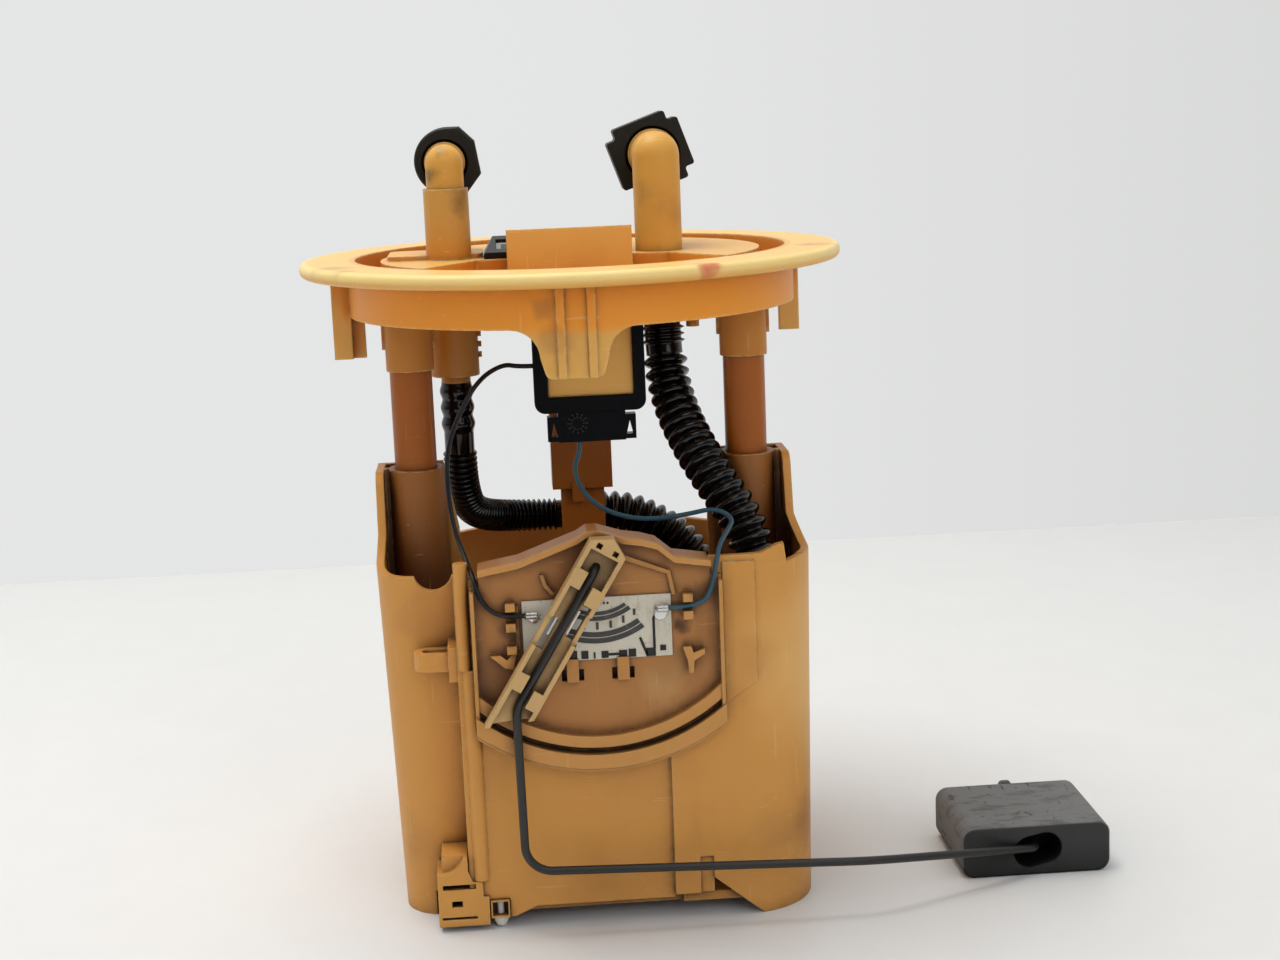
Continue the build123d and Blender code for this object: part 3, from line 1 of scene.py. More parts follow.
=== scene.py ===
import bpy
import bmesh
import math
import random
from mathutils import Matrix, Vector, noise


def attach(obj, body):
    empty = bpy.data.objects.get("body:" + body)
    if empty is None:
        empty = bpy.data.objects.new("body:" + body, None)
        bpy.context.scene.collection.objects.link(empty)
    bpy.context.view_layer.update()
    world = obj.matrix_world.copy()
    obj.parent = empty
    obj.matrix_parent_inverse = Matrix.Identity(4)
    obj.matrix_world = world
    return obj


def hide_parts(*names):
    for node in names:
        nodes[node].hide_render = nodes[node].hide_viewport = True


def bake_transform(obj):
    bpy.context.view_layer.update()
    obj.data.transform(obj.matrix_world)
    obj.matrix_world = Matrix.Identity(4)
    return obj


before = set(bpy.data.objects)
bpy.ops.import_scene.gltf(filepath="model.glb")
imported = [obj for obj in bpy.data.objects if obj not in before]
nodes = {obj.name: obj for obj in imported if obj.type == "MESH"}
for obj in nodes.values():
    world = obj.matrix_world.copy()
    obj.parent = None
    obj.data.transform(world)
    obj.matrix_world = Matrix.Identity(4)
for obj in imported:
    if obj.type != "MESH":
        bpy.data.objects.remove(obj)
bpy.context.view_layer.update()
print("frame loaded:", len(nodes), "pieces")


def mm(x, y, z):
    return (x / 1000, y / 1000, z / 1000)


def addObject(name, data):
    item = bpy.data.objects.new(name, data)
    bpy.context.scene.collection.objects.link(item)
    return item


# the camera stands in front, a little above the cover
cameraSetup = {
    "place": (-0.02121, -0.58946, 0.22465),
    "target": (0.01756, 0.0, 0.11204),
    "roll": -2.28,
    "lens": 57.19,
}


def makeCamera(setup):
    data = bpy.data.cameras.new("studioCamera")
    data.sensor_width = 36.0
    data.lens = setup["lens"]
    data.clip_start = 0.01
    data.dof.use_dof = False
    camera = addObject("studioCamera", data)
    place = Vector(setup["place"])
    ahead = (Vector(setup["target"]) - place).normalized()
    right = ahead.cross(Vector((0, 0, 1))).normalized()
    up = right.cross(ahead)
    turn = math.radians(setup["roll"])
    rightTurned = math.cos(turn) * right + math.sin(turn) * up
    upTurned = math.cos(turn) * up - math.sin(turn) * right
    rows = Matrix((rightTurned, upTurned, -ahead)).transposed().to_4x4()
    camera.matrix_world = Matrix.Translation(place) @ rows
    bpy.context.scene.camera = camera


makeCamera(cameraSetup)
print("camera placed")


# short forms for shader and geometry nodes
def addNode(tree, kind, **settings):
    node = tree.nodes.new(kind)
    for key, value in settings.items():
        setattr(node, key, value)
    return node


def setInputs(node, **values):
    for key, value in values.items():
        node.inputs[key.replace("_", " ")].default_value = value


def link(tree, source, target):
    tree.links.new(source, target)


def feed(tree, value, socket):
    # a number or a colour is set, anything else is linked
    if isinstance(value, (int, float)):
        socket.default_value = value
    elif isinstance(value, tuple):
        socket.default_value = (*value, 1.0)
    else:
        link(tree, value, socket)


def newGroup(name, starts, results):
    # a shader group that takes a place and some numbers; hands back the group and its two sides
    group = bpy.data.node_groups.new(name, "ShaderNodeTree")
    group.interface.new_socket(name="Place", in_out="INPUT", socket_type="NodeSocketVector")
    for label, start in starts.items():
        group.interface.new_socket(name=label, in_out="INPUT", socket_type="NodeSocketFloat").default_value = start
    for label, kind in results.items():
        group.interface.new_socket(name=label, in_out="OUTPUT", socket_type="NodeSocket" + kind)
    return group, group.nodes.new("NodeGroupInput").outputs, group.nodes.new("NodeGroupOutput").inputs


def mathNode(tree, operation, first, second=None, clamp=False):
    node = addNode(tree, "ShaderNodeMath", operation=operation, use_clamp=clamp)
    feed(tree, first, node.inputs[0])
    if second is not None:
        feed(tree, second, node.inputs[1])
    return node.outputs[0]


def times(tree, first, second, clamp=False):
    return mathNode(tree, "MULTIPLY", first, second, clamp)


def plus(tree, first, second):
    return mathNode(tree, "ADD", first, second)


def rangeNode(tree, value, low, high, outLow=0.0, outHigh=1.0):
    node = addNode(tree, "ShaderNodeMapRange", interpolation_type="SMOOTHSTEP")
    labels = ("Value", "From Min", "From Max", "To Min", "To Max")
    for label, number in zip(labels, (value, low, high, outLow, outHigh)):
        feed(tree, number, node.inputs[label])
    return node.outputs["Result"]


def mixColour(tree, factor, first, second):
    node = addNode(tree, "ShaderNodeMix", data_type="RGBA")
    for index, value in ((0, factor), (6, first), (7, second)):
        feed(tree, value, node.inputs[index])
    return node.outputs[2]


def tintBy(tree, mask, share, colour, tint):
    # lays a tint over a colour, by a share of a mask
    return mixColour(tree, times(tree, mask, share), colour, tint)


def splitParts(tree, vector):
    parts = addNode(tree, "ShaderNodeSeparateXYZ")
    link(tree, vector, parts.inputs[0])
    return parts.outputs


def distanceTo(tree, vector, target):
    away = addNode(tree, "ShaderNodeVectorMath", operation="DISTANCE")
    link(tree, vector, away.inputs[0])
    away.inputs[1].default_value = target
    return away.outputs["Value"]


def noiseNode(tree, place, scale, detail=4.0, roughness=0.55):
    node = addNode(tree, "ShaderNodeTexNoise")
    link(tree, place, node.inputs["Vector"])
    feed(tree, scale, node.inputs["Scale"])
    setInputs(node, Detail=detail, Roughness=roughness)
    return node.outputs["Fac"]


def stretchedPlace(tree, place, stretch, shift=(0.0, 0.0, 0.0)):
    node = addNode(tree, "ShaderNodeMapping")
    link(tree, place, node.inputs["Vector"])
    node.inputs["Scale"].default_value = stretch
    node.inputs["Location"].default_value = shift
    return node.outputs["Vector"]


# effects that several materials share
def buildFuelStains():
    # cloudy brown patches with runs that follow gravity
    runStretch, runScale, cloudShare, runShare = (1.0, 1.0, 0.12), 6.0, 0.68, 0.32
    lowest, drop, width = 0.72, 0.42, 0.2
    group, source, result = newGroup("fuelStains", {"Scale": 30.0, "Amount": 0.5}, {"Mask": "Float"})
    place, scale = source["Place"], source["Scale"]
    clouds = noiseNode(group, place, scale, 6.0, 0.6)
    runs = noiseNode(group, stretchedPlace(group, place, runStretch), times(group, scale, runScale), 4.0, 0.6)
    mixed = plus(group, times(group, clouds, cloudShare), times(group, runs, runShare))
    low = mathNode(group, "SUBTRACT", lowest, times(group, source["Amount"], drop))
    high = plus(group, low, width)
    link(group, rangeNode(group, mixed, low, high), result["Mask"])
    return group


def buildRubbedEdges():
    # where two faces meet the surface is worn pale and slightly rounded
    bendFrom, bendTo, brokenFrom, brokenTo = 0.01, 0.12, 0.36, 0.62
    group, source, result = newGroup(
        "rubbedEdges", {"Radius": 0.0005, "Breakup": 400.0}, {"Mask": "Float", "Normal": "Vector"})
    rounded = addNode(group, "ShaderNodeBevel", samples=6)
    link(group, source["Radius"], rounded.inputs["Radius"])
    flat = addNode(group, "ShaderNodeNewGeometry")
    match = addNode(group, "ShaderNodeVectorMath", operation="DOT_PRODUCT")
    link(group, rounded.outputs["Normal"], match.inputs[0])
    link(group, flat.outputs["Normal"], match.inputs[1])
    bent = rangeNode(group, mathNode(group, "SUBTRACT", 1.0, match.outputs["Value"]), bendFrom, bendTo)
    broken = noiseNode(group, source["Place"], source["Breakup"], 3.0)
    link(group, times(group, bent, rangeNode(group, broken, brokenFrom, brokenTo)), result["Mask"])
    link(group, rounded.outputs["Normal"], result["Normal"])
    return group


def closedShare(group, source, samples):
    # how much of the air round a place is taken up by the object itself
    shade = addNode(group, "ShaderNodeAmbientOcclusion", samples=samples)
    link(group, source["Reach"], shade.inputs["Distance"])
    return mathNode(group, "SUBTRACT", 1.0, shade.outputs["AO"])


def buildCornerGrimeAndPaintedShade():
    # grime that settles where air and cloth don't reach, with painted shade in the same corners and gaps
    patchScale, patchFrom, patchTo, leastShare, gain = 220.0, 0.25, 0.7, 0.35, 1.6
    group, source, result = newGroup("cornerGrimeAndPaintedShade", {"Reach": 0.004, "Amount": 0.6}, {"Mask": "Float"})
    patches = noiseNode(group, source["Place"], patchScale, 4.0)
    patchy = rangeNode(group, patches, patchFrom, patchTo, leastShare, 1.0)
    strength = times(group, times(group, closedShare(group, source, 6), patchy), source["Amount"])
    link(group, times(group, strength, gain, True), result["Mask"])
    return group


def buildDeepShade():
    # painted shade: hollows and inner walls are coloured darker and browner, the more closed in they are
    cloudScale, cloudShare, fade = 45.0, 0.25, 0.38
    group, source, result = newGroup("deepShade", {"Reach": 0.03, "Open": 0.4, "Amount": 1.0}, {"Mask": "Float"})
    clouds = mathNode(group, "SUBTRACT", noiseNode(group, source["Place"], cloudScale, 3.0), 0.5)
    shaded = plus(group, closedShare(group, source, 8), times(group, clouds, cloudShare))
    start = source["Open"]
    mask = rangeNode(group, shaded, start, plus(group, start, fade))
    link(group, times(group, mask, source["Amount"], True), result["Mask"])
    return group


def buildMouldGrain():
    # fine unevenness of a moulded surface, with a few scratches
    grainShare, waveShare, scratchDepth, waveScale = 0.35, 0.5, 0.4, 60.0
    # stretch, shift, scale, and where the scratch starts and is full
    upright = ((1.0, 1.0, 0.05), (0.3, 0.1, 0.2), 700.0, 0.69, 0.72)
    level = ((0.06, 1.0, 1.0), (0.5, 0.4, 0.1), 760.0, 0.70, 0.73)
    group, source, result = newGroup(
        "mouldGrain", {"Scale": 900.0, "Scratches": 0.4}, {"Height": "Float", "Scratch Mask": "Float"})
    place = source["Place"]
    grain = noiseNode(group, place, source["Scale"], 5.0, 0.6)
    waves = noiseNode(group, place, waveScale, 2.0)
    lines = []
    for stretch, shift, scale, low, high in (upright, level):
        line = noiseNode(group, stretchedPlace(group, place, stretch, shift), scale, 2.0)
        lines.append(rangeNode(group, line, low, high))
    mask = times(group, mathNode(group, "MAXIMUM", *lines), source["Scratches"])
    height = plus(group, times(group, grain, grainShare), times(group, waves, waveShare))
    link(group, mathNode(group, "SUBTRACT", height, times(group, mask, scratchDepth)), result["Height"])
    link(group, mask, result["Scratch Mask"])
    return group


fuelStains = buildFuelStains()
rubbedEdges = buildRubbedEdges()
cornerGrimeAndPaintedShade = buildCornerGrimeAndPaintedShade()
deepShade = buildDeepShade()
mouldGrain = buildMouldGrain()


def placeGroup(tree, group, place, **values):
    node = addNode(tree, "ShaderNodeGroup", node_tree=group)
    link(tree, place, node.inputs["Place"])
    setInputs(node, **values)
    return node.outputs


def setFinish(tree, shader, colour, mask, roughness, rise):
    # a colour, and a roughness that rises where the mask shows
    link(tree, colour, shader.inputs["Base Color"])
    link(tree, rangeNode(tree, mask, 0.0, 1.0, roughness, roughness + rise), shader.inputs["Roughness"])


def startMaterial(name):
    material = bpy.data.materials.new(name)
    material.use_nodes = True
    tree = material.node_tree
    shader = tree.nodes["Principled BSDF"]
    place = addNode(tree, "ShaderNodeTexCoord").outputs["Object"]
    return material, tree, shader, place


def addBump(tree, shader, height, strength, distance, normal=None):
    bump = addNode(tree, "ShaderNodeBump")
    setInputs(bump, Strength=strength, Distance=distance)
    link(tree, height, bump.inputs["Height"])
    if normal is not None:
        link(tree, normal, bump.inputs["Normal"])
    link(tree, bump.outputs["Normal"], shader.inputs["Normal"])


# moulded acetal in its six states; a zone is an upright ring (axis, radii, heights, fades) with its own tint,
# a mark is a soft blot (place, radius, tint, strength); both in millimetres
acetalLooks = {
    "coverAcetal": {
        "colour": (0.80, 0.44, 0.105), "stain": (0.50, 0.23, 0.045), "grimeAndPaintedShade": (0.055, 0.03, 0.016),
        "rub": (0.92, 0.72, 0.38), "stainScale": 22, "stainAmount": 0.3, "grimeAndPaintedShadeAmount": 0.55, "grimeAndPaintedShadeReach": 0.003,
        "roughness": 0.42, "scratches": 0.6, "edge": 0.0009, "depth": (0.62, 0.21, 0.008), "depthReach": 0.03,
        "depthFrom": 0.25, "depthAmount": 0.9,
        "zones": [
            # painted shade with a painted glow: the skirt under the rim is coloured deeper and redder
            ((0, 0), (59, 66), (164, 176.2), (0.6, 2), (0.90, 0.32, 0.018), 0.85),
            # painted highlight: the rim top and the rim's front edge are coloured paler
            ((0, 0), (63.5, 82), (180.2, 182), (0.4, 0.4), (0.88, 0.60, 0.20), 0.75),
            ((0, 0), (75.5, 80), (178.4, 180.9), (0.9, 0.9), (1.00, 0.78, 0.32), 0.8),
            ((-47, -20), (-1, 8.2), (149, 172), (0.4, 0.4), (0.50, 0.175, 0.018), 0.9),
            ((47, -20), (-1, 8.2), (149, 172), (0.4, 0.4), (0.50, 0.175, 0.018), 0.9),
            ((-34.8, -4), (-1, 8.2), (143, 172), (0.4, 0.4), (0.56, 0.24, 0.050), 0.9),
            ((-34.8, -4), (-3, 6.8), (181, 202), (2, 2), (0.48, 0.26, 0.052), 0.75),
        ],
        "marks": [
            ((34, -68.5, 180.6), 5, (0.62, 0.08, 0.04), 0.8), ((59.5, -29, 177), 6, (0.66, 0.16, 0.09), 0.4),
            ((66, -20, 180.6), 8, (0.60, 0.14, 0.09), 0.6), ((-64, -30, 180.6), 9, (0.36, 0.15, 0.04), 0.4),
            ((-29.5, -8, 197), 7, (0.09, 0.06, 0.035), 0.6), ((-9.5, -64, 171), 5, (0.34, 0.14, 0.04), 0.5),
            ((-7.5, -63.8, 162), 7, (0.42, 0.19, 0.05), 0.4), ((-62, -40, 180.6), 6, (0.30, 0.13, 0.04), 0.4),
            ((2, -30, 179), 10, (0.50, 0.22, 0.05), 0.3),
        ],
    },
    "elbowAcetal": {
        "colour": (0.72, 0.38, 0.068), "stain": (0.40, 0.19, 0.045), "grimeAndPaintedShade": (0.05, 0.03, 0.018),
        "rub": (0.86, 0.58, 0.26), "stainScale": 40, "stainAmount": 0.4, "grimeAndPaintedShadeAmount": 0.7, "grimeAndPaintedShadeReach": 0.003,
        "roughness": 0.42, "scratches": 0.9, "edge": 0.0006, "depth": (0.40, 0.14, 0.02), "depthReach": 0.02,
        "depthFrom": 0.4, "depthAmount": 0.6,
        "marks": [
            ((-39.3, -7, 203.5), 4, (0.06, 0.04, 0.03), 0.6), ((-35.5, -9, 211.5), 3.5, (0.10, 0.06, 0.035), 0.4),
            ((22, -9, 197), 5, (0.30, 0.16, 0.06), 0.3), ((29, -8, 190), 7, (0.40, 0.20, 0.06), 0.35),
        ],
    },
    "potAcetal": {
        "colour": (0.67, 0.315, 0.068), "stain": (0.44, 0.19, 0.040), "grimeAndPaintedShade": (0.05, 0.028, 0.016),
        "rub": (0.80, 0.52, 0.22), "stainScale": 16, "stainAmount": 0.4, "grimeAndPaintedShadeAmount": 0.6, "grimeAndPaintedShadeReach": 0.004,
        "roughness": 0.45, "scratches": 0.7, "edge": 0.0007, "depth": (0.085, 0.018, 0.003), "depthReach": 0.06,
        "depthFrom": 0.5, "depthAmount": 0.95,
        "zones": [
            # painted shade: the guide tubes in the bays and the bays' hollows are coloured dark brown
            ((-47, -20), (-1, 8.6), (88, 124), (0.3, 0.3), (0.30, 0.105, 0.022), 0.9),
            ((47, -20), (-1, 8.6), (88, 124), (0.3, 0.3), (0.30, 0.105, 0.022), 0.9),
            ((-47, -20), (-1, 10.8), (70, 102), (0.6, 16), (0.11, 0.036, 0.010), 0.95),
            ((47, -20), (-1, 11.8), (70, 104), (0.6, 16), (0.13, 0.045, 0.012), 0.9),
        ],
        "marks": [
            # the wide pale blot on the right side, second on the next line, is a painted highlight
            ((-52, -47.5, 22), 12, (0.34, 0.15, 0.04), 0.35), ((58, -46, 66), 34, (0.90, 0.56, 0.20), 0.5),
            ((50, -57, 20), 14, (0.34, 0.16, 0.05), 0.4), ((58, -46, 24), 14, (0.30, 0.13, 0.04), 0.45),
            ((-30, -60, 46), 12, (0.42, 0.19, 0.05), 0.3), ((-46, -48, 86), 10, (0.40, 0.18, 0.05), 0.3),
            ((8, -60, 45), 22, (0.50, 0.23, 0.055), 0.35), ((42, -61, 70), 10, (0.42, 0.17, 0.04), 0.3),
            ((0, -60, 12), 16, (0.42, 0.17, 0.04), 0.35),
        ],
    },
    "rodAcetal": {
        "colour": (0.37, 0.100, 0.0075), "stain": (0.24, 0.065, 0.007), "grimeAndPaintedShade": (0.05, 0.028, 0.016),
        "rub": (0.56, 0.26, 0.05), "stainScale": 24, "stainAmount": 0.4, "grimeAndPaintedShadeAmount": 0.5, "grimeAndPaintedShadeReach": 0.004,
        "roughness": 0.36, "scratches": 0.6, "edge": 0.0005, "depth": (0.22, 0.055, 0.006), "depthReach": 0.03,
        "depthFrom": 0.4, "depthAmount": 0.75, "marks": [((5, 9, 128), 7, (0.20, 0.09, 0.03), 0.4)],
        "zones": [((0.9, 14), (-2, 16), (20, 150), (1, 1), (0.44, 0.135, 0.014), 0.9)],
    },
    "bracketAcetal": {
        "colour": (0.47, 0.205, 0.056), "stain": (0.22, 0.085, 0.025), "grimeAndPaintedShade": (0.035, 0.02, 0.012),
        "rub": (0.72, 0.44, 0.18), "stainScale": 34, "stainAmount": 0.5, "grimeAndPaintedShadeAmount": 0.8, "grimeAndPaintedShadeReach": 0.004,
        "roughness": 0.44, "scratches": 0.6, "edge": 0.0006, "depth": (0.14, 0.045, 0.010), "depthReach": 0.015,
        "depthFrom": 0.3, "depthAmount": 0.8, "raised": (-63.6, -65.6, (0.62, 0.30, 0.078), 0.85),
        "marks": [
            # the dark blots at the top and on the left, first on this line and the next, are painted shadow under
            # the roof
            ((0, -62, 96), 14, (0.30, 0.135, 0.045), 0.5), ((18, -63, 66), 8, (0.60, 0.36, 0.14), 0.45),
            ((-28, -63, 70), 9, (0.24, 0.11, 0.045), 0.45), ((22, -63, 74), 10, (0.34, 0.17, 0.06), 0.4),
            # the next three small dark blots round the card are painted shade in the openings
            ((21.8, -63.1, 84), 4.2, (0.050, 0.018, 0.008), 0.9),
            ((3, -63.1, 94.3), 3.6, (0.060, 0.022, 0.010), 0.85),
            ((-21.5, -63.1, 84), 5, (0.055, 0.022, 0.010), 0.85), ((30, -64, 92), 6, (0.10, 0.04, 0.015), 0.6),
        ],
    },
    "armAcetal": {
        "colour": (0.62, 0.39, 0.16), "stain": (0.32, 0.17, 0.06), "grimeAndPaintedShade": (0.04, 0.025, 0.015),
        "rub": (0.82, 0.62, 0.34), "stainScale": 60, "stainAmount": 0.4, "grimeAndPaintedShadeAmount": 0.8, "grimeAndPaintedShadeReach": 0.003,
        "roughness": 0.42, "scratches": 0.5, "edge": 0.0004, "depth": (0.20, 0.10, 0.035), "depthReach": 0.008,
        "depthFrom": 0.4, "depthAmount": 0.9, "marks": [((0.5, -70, 102.5), 7, (0.09, 0.05, 0.025), 0.6)],
    },
}


def markMask(tree, place, centre, radius):
    # a soft blot with an uneven edge round one place; small blots get a finer edge
    edgeScale, edgeShare = 700.0 / radius, radius / 450
    uneven = mathNode(tree, "SUBTRACT", noiseNode(tree, place, edgeScale, 3.0, 0.5), 0.5)
    reach = plus(tree, distanceTo(tree, place, mm(*centre)), times(tree, uneven, edgeShare))
    return rangeNode(tree, reach, 0.0, radius / 1000, 1.0, 0.0)


def zoneMask(tree, place, axis, radii, heights, soft):
    # an upright ring between two radii and two heights, fading over a short way
    parts = splitParts(tree, place)
    flat = addNode(tree, "ShaderNodeCombineXYZ")
    link(tree, parts["X"], flat.inputs["X"])
    link(tree, parts["Y"], flat.inputs["Y"])
    away = distanceTo(tree, flat.outputs[0], mm(*axis, 0.0))
    mask = None
    for value, (low, high), fade in ((away, radii, soft[0]), (parts["Z"], heights, soft[1])):
        for edge, start, end in ((low, 0.0, 1.0), (high, 1.0, 0.0)):
            side = rangeNode(tree, value, (edge - fade) / 1000, (edge + fade) / 1000, start, end)
            mask = side if mask is None else times(tree, mask, side)
    return mask


# what the six states have in common: how much of each mask shows, and how it changes the surface
acetalShares = {
    "cloud": 0.55, "fine": 0.4, "fineScale": 7, "fineAmount": 0.55, "rub": 0.6, "scratch": 0.35, "grimeAndPaintedShade": 0.75,
    "stainRough": 0.16, "scratchRough": 0.2, "shine": 0.38, "bump": 0.35, "bumpDepth": 0.0002,
    "glow": 0.12, "glowDepth": 0.004, "glowReach": (1.0, 0.45, 0.12), "bend": 1.48,
}


def makeAcetal(name, look):
    shares = acetalShares
    material, tree, shader, place = startMaterial(name)
    stains = placeGroup(tree, fuelStains, place, Scale=look["stainScale"], Amount=look["stainAmount"])
    fine = placeGroup(tree, fuelStains, place, Scale=look["stainScale"] * shares["fineScale"],
                      Amount=look["stainAmount"] * shares["fineAmount"])
    edges = placeGroup(tree, rubbedEdges, place, Radius=look["edge"])
    deep = placeGroup(tree, deepShade, place, Reach=look["depthReach"], Open=look["depthFrom"],
                      Amount=look["depthAmount"])
    grimeAndPaintedShade = placeGroup(tree, cornerGrimeAndPaintedShade, place, Reach=look["grimeAndPaintedShadeReach"], Amount=look["grimeAndPaintedShadeAmount"])
    grain = placeGroup(tree, mouldGrain, place, Scratches=look["scratches"])
    scratched = grain["Scratch Mask"]
    colour = tintBy(tree, stains["Mask"], shares["cloud"], look["colour"], look["stain"])
    colour = tintBy(tree, fine["Mask"], shares["fine"], colour, look["stain"])
    for axis, radii, heights, soft, tint, strength in look.get("zones", ()):
        colour = tintBy(tree, zoneMask(tree, place, axis, radii, heights, soft), strength, colour, tint)
    if "raised" in look:
        back, front, tint, strength = look["raised"]
        raised = rangeNode(tree, splitParts(tree, place)["Y"], front / 1000, back / 1000, strength, 0.0)
        colour = mixColour(tree, raised, colour, tint)
    for centre, radius, tint, strength in look["marks"]:
        colour = tintBy(tree, markMask(tree, place, centre, radius), strength, colour, tint)
    # painted shade: closed-in places take the darker shade colour
    colour = mixColour(tree, deep["Mask"], colour, look["depth"])
    colour = tintBy(tree, edges["Mask"], shares["rub"], colour, look["rub"])
    colour = tintBy(tree, scratched, shares["scratch"], colour, look["rub"])
    # grime together with painted shade in corners and narrow gaps
    colour = tintBy(tree, grimeAndPaintedShade["Mask"], shares["grimeAndPaintedShade"], colour, look["grimeAndPaintedShade"])
    link(tree, colour, shader.inputs["Base Color"])
    rough = rangeNode(tree, stains["Mask"], 0.0, 1.0, look["roughness"],
                      look["roughness"] + shares["stainRough"])
    rough = plus(tree, rough, times(tree, scratched, shares["scratchRough"]))
    link(tree, rough, shader.inputs["Roughness"])
    setInputs(shader, Subsurface_Weight=shares["glow"], Subsurface_Scale=shares["glowDepth"],
              Subsurface_Radius=shares["glowReach"], IOR=shares["bend"], Specular_IOR_Level=shares["shine"])
    addBump(tree, shader, grain["Height"], shares["bump"], shares["bumpDepth"], edges["Normal"])
    return material


# plain finishes: a colour under a film of a second one, with rubbed edges, scratches and metal where a value asks
nylonKind = {
    "filmScale": 90, "edges": 0.35, "grainScale": 1500, "scratches": 0.5, "scratch": 0.25, "rise": 0.25,
    "bump": 0.3, "bumpDepth": 0.00015,
}
sheathKind = {"filmAmount": 0.35, "film": 0.45, "fineScale": 1800, "fineDetail": 4, "rise": 0.3, "bump": 0.12}
metalKind = {
    "filmScale": 180, "filmAmount": 0.4, "film": 0.5, "grainScale": 2200, "scratches": 0.8, "scratch": 0,
    "rise": 0.25, "dull": 0.6, "bump": 0.25,
}
inkKind = {
    "filmScale": 200, "filmAmount": 0.45, "film": 1, "fineScale": 2400, "fineDetail": 3, "rise": 0.2, "bump": 0.2,
}
plainLooks = {
    "blackNylon": {**nylonKind, "colour": (0.0035, 0.0042, 0.0055), "second": (0.045, 0.042, 0.036),
                   "roughness": 0.34, "filmAmount": 0.2, "film": 0.1, "edge": 0.0004, "shine": 0.3},
    "holderNylon": {**nylonKind, "colour": (0.0012, 0.0016, 0.0032), "second": (0.020, 0.020, 0.020),
                    "roughness": 0.3, "filmAmount": 0.15, "film": 0.075, "edge": 0.0004, "shine": 0.12},
    "collarNylon": {**nylonKind, "colour": (0.011, 0.011, 0.0095), "second": (0.075, 0.068, 0.05),
                    "roughness": 0.5, "filmAmount": 0.4, "film": 0.2, "edge": 0.0006, "shine": 0.35},
    "pumpNylon": {**nylonKind, "colour": (0.05, 0.05, 0.048), "second": (0.15, 0.13, 0.10),
                  "roughness": 0.5, "filmAmount": 0.3, "film": 0.15, "edge": 0.0005, "shine": 0.4},
    "whiteNylon": {**nylonKind, "colour": (0.72, 0.70, 0.64), "second": (0.42, 0.34, 0.22),
                   "roughness": 0.5, "filmAmount": 0.4, "film": 0.2, "edge": 0.0004, "shine": 0.5},
    "greySeal": {**nylonKind, "colour": (0.36, 0.36, 0.34), "second": (0.22, 0.20, 0.17),
                 "roughness": 0.75, "filmAmount": 0.5, "film": 0.25, "edge": 0.0003, "shine": 0.3},
    "capNylon": {**nylonKind, "colour": (0.06, 0.06, 0.058), "second": (0.14, 0.13, 0.11),
                 "roughness": 0.55, "filmAmount": 0.4, "film": 0.2, "edge": 0.0005, "shine": 0.4},
    "hoseNylon": {**sheathKind, "colour": (0.0018, 0.0018, 0.0022), "second": (0.010, 0.009, 0.008),
                  "roughness": 0.12, "shine": 0.5, "filmScale": 260},
    "wireBlack": {**sheathKind, "colour": (0.008, 0.008, 0.009), "second": (0.04, 0.038, 0.034),
                  "roughness": 0.35, "shine": 0.4, "filmScale": 500},
    "wireBlue": {**sheathKind, "colour": (0.035, 0.100, 0.140), "second": (0.07, 0.085, 0.09),
                 "roughness": 0.4, "shine": 0.4, "filmScale": 500},
    "wireSteel": {**metalKind, "colour": (0.050, 0.049, 0.047), "second": (0.075, 0.048, 0.030),
                  "roughness": 0.42, "metal": 0.7},
    "tinPlate": {**metalKind, "colour": (0.70, 0.70, 0.68), "second": (0.30, 0.27, 0.22),
                 "roughness": 0.25, "metal": 1},
    "springSteel": {**metalKind, "colour": (0.42, 0.42, 0.43), "second": (0.20, 0.14, 0.09),
                    "roughness": 0.35, "metal": 1},
    "canSteel": {**metalKind, "colour": (0.55, 0.55, 0.54), "second": (0.28, 0.22, 0.15),
                 "roughness": 0.34, "metal": 1},
    "ceramic": {**inkKind, "colour": (0.66, 0.61, 0.50), "second": (0.24, 0.17, 0.095), "roughness": 0.5,
                "filmScale": 120, "film": 0.6, "fineScale": 1500, "specks": (0.62, 0.74, 0, 0.6)},
    "ink": {**inkKind, "colour": (0.050, 0.048, 0.046), "second": (0.12, 0.11, 0.10), "roughness": 0.42},
    "padInk": {**inkKind, "colour": (0.008, 0.007, 0.007), "second": (0.035, 0.030, 0.026), "roughness": 0.4},
    "marking": {**inkKind, "colour": (0.030, 0.030, 0.032), "second": (0.055, 0.055, 0.055), "roughness": 0.5},
}


def makePlain(name, look):
    material, tree, shader, place = startMaterial(name)
    film = placeGroup(tree, fuelStains, place, Scale=look["filmScale"], Amount=look["filmAmount"])["Mask"]
    colour = tintBy(tree, film, look["film"], look["colour"], look["second"])
    normal = None
    if "edge" in look:
        edges = placeGroup(tree, rubbedEdges, place, Radius=look["edge"])
        colour = tintBy(tree, edges["Mask"], look["edges"], colour, look["second"])
        normal = edges["Normal"]
    if "grainScale" in look:
        grain = placeGroup(tree, mouldGrain, place, Scale=look["grainScale"], Scratches=look["scratches"])
        colour = tintBy(tree, grain["Scratch Mask"], look["scratch"], colour, look["second"])
        height = grain["Height"]
    else:
        height = noiseNode(tree, place, look["fineScale"], look["fineDetail"])
    if "specks" in look:
        colour = mixColour(tree, rangeNode(tree, height, *look["specks"]), colour, look["second"])
    setFinish(tree, shader, colour, film, look["roughness"], look["rise"])
    if "shine" in look:
        setInputs(shader, Specular_IOR_Level=look["shine"])
    if "metal" in look:
        metallic = rangeNode(tree, film, 0, 1, look["metal"], look["metal"] * look["dull"])
        link(tree, metallic, shader.inputs["Metallic"])
    addBump(tree, shader, height, look["bump"], look.get("bumpDepth", 0.0001), normal)
    return material


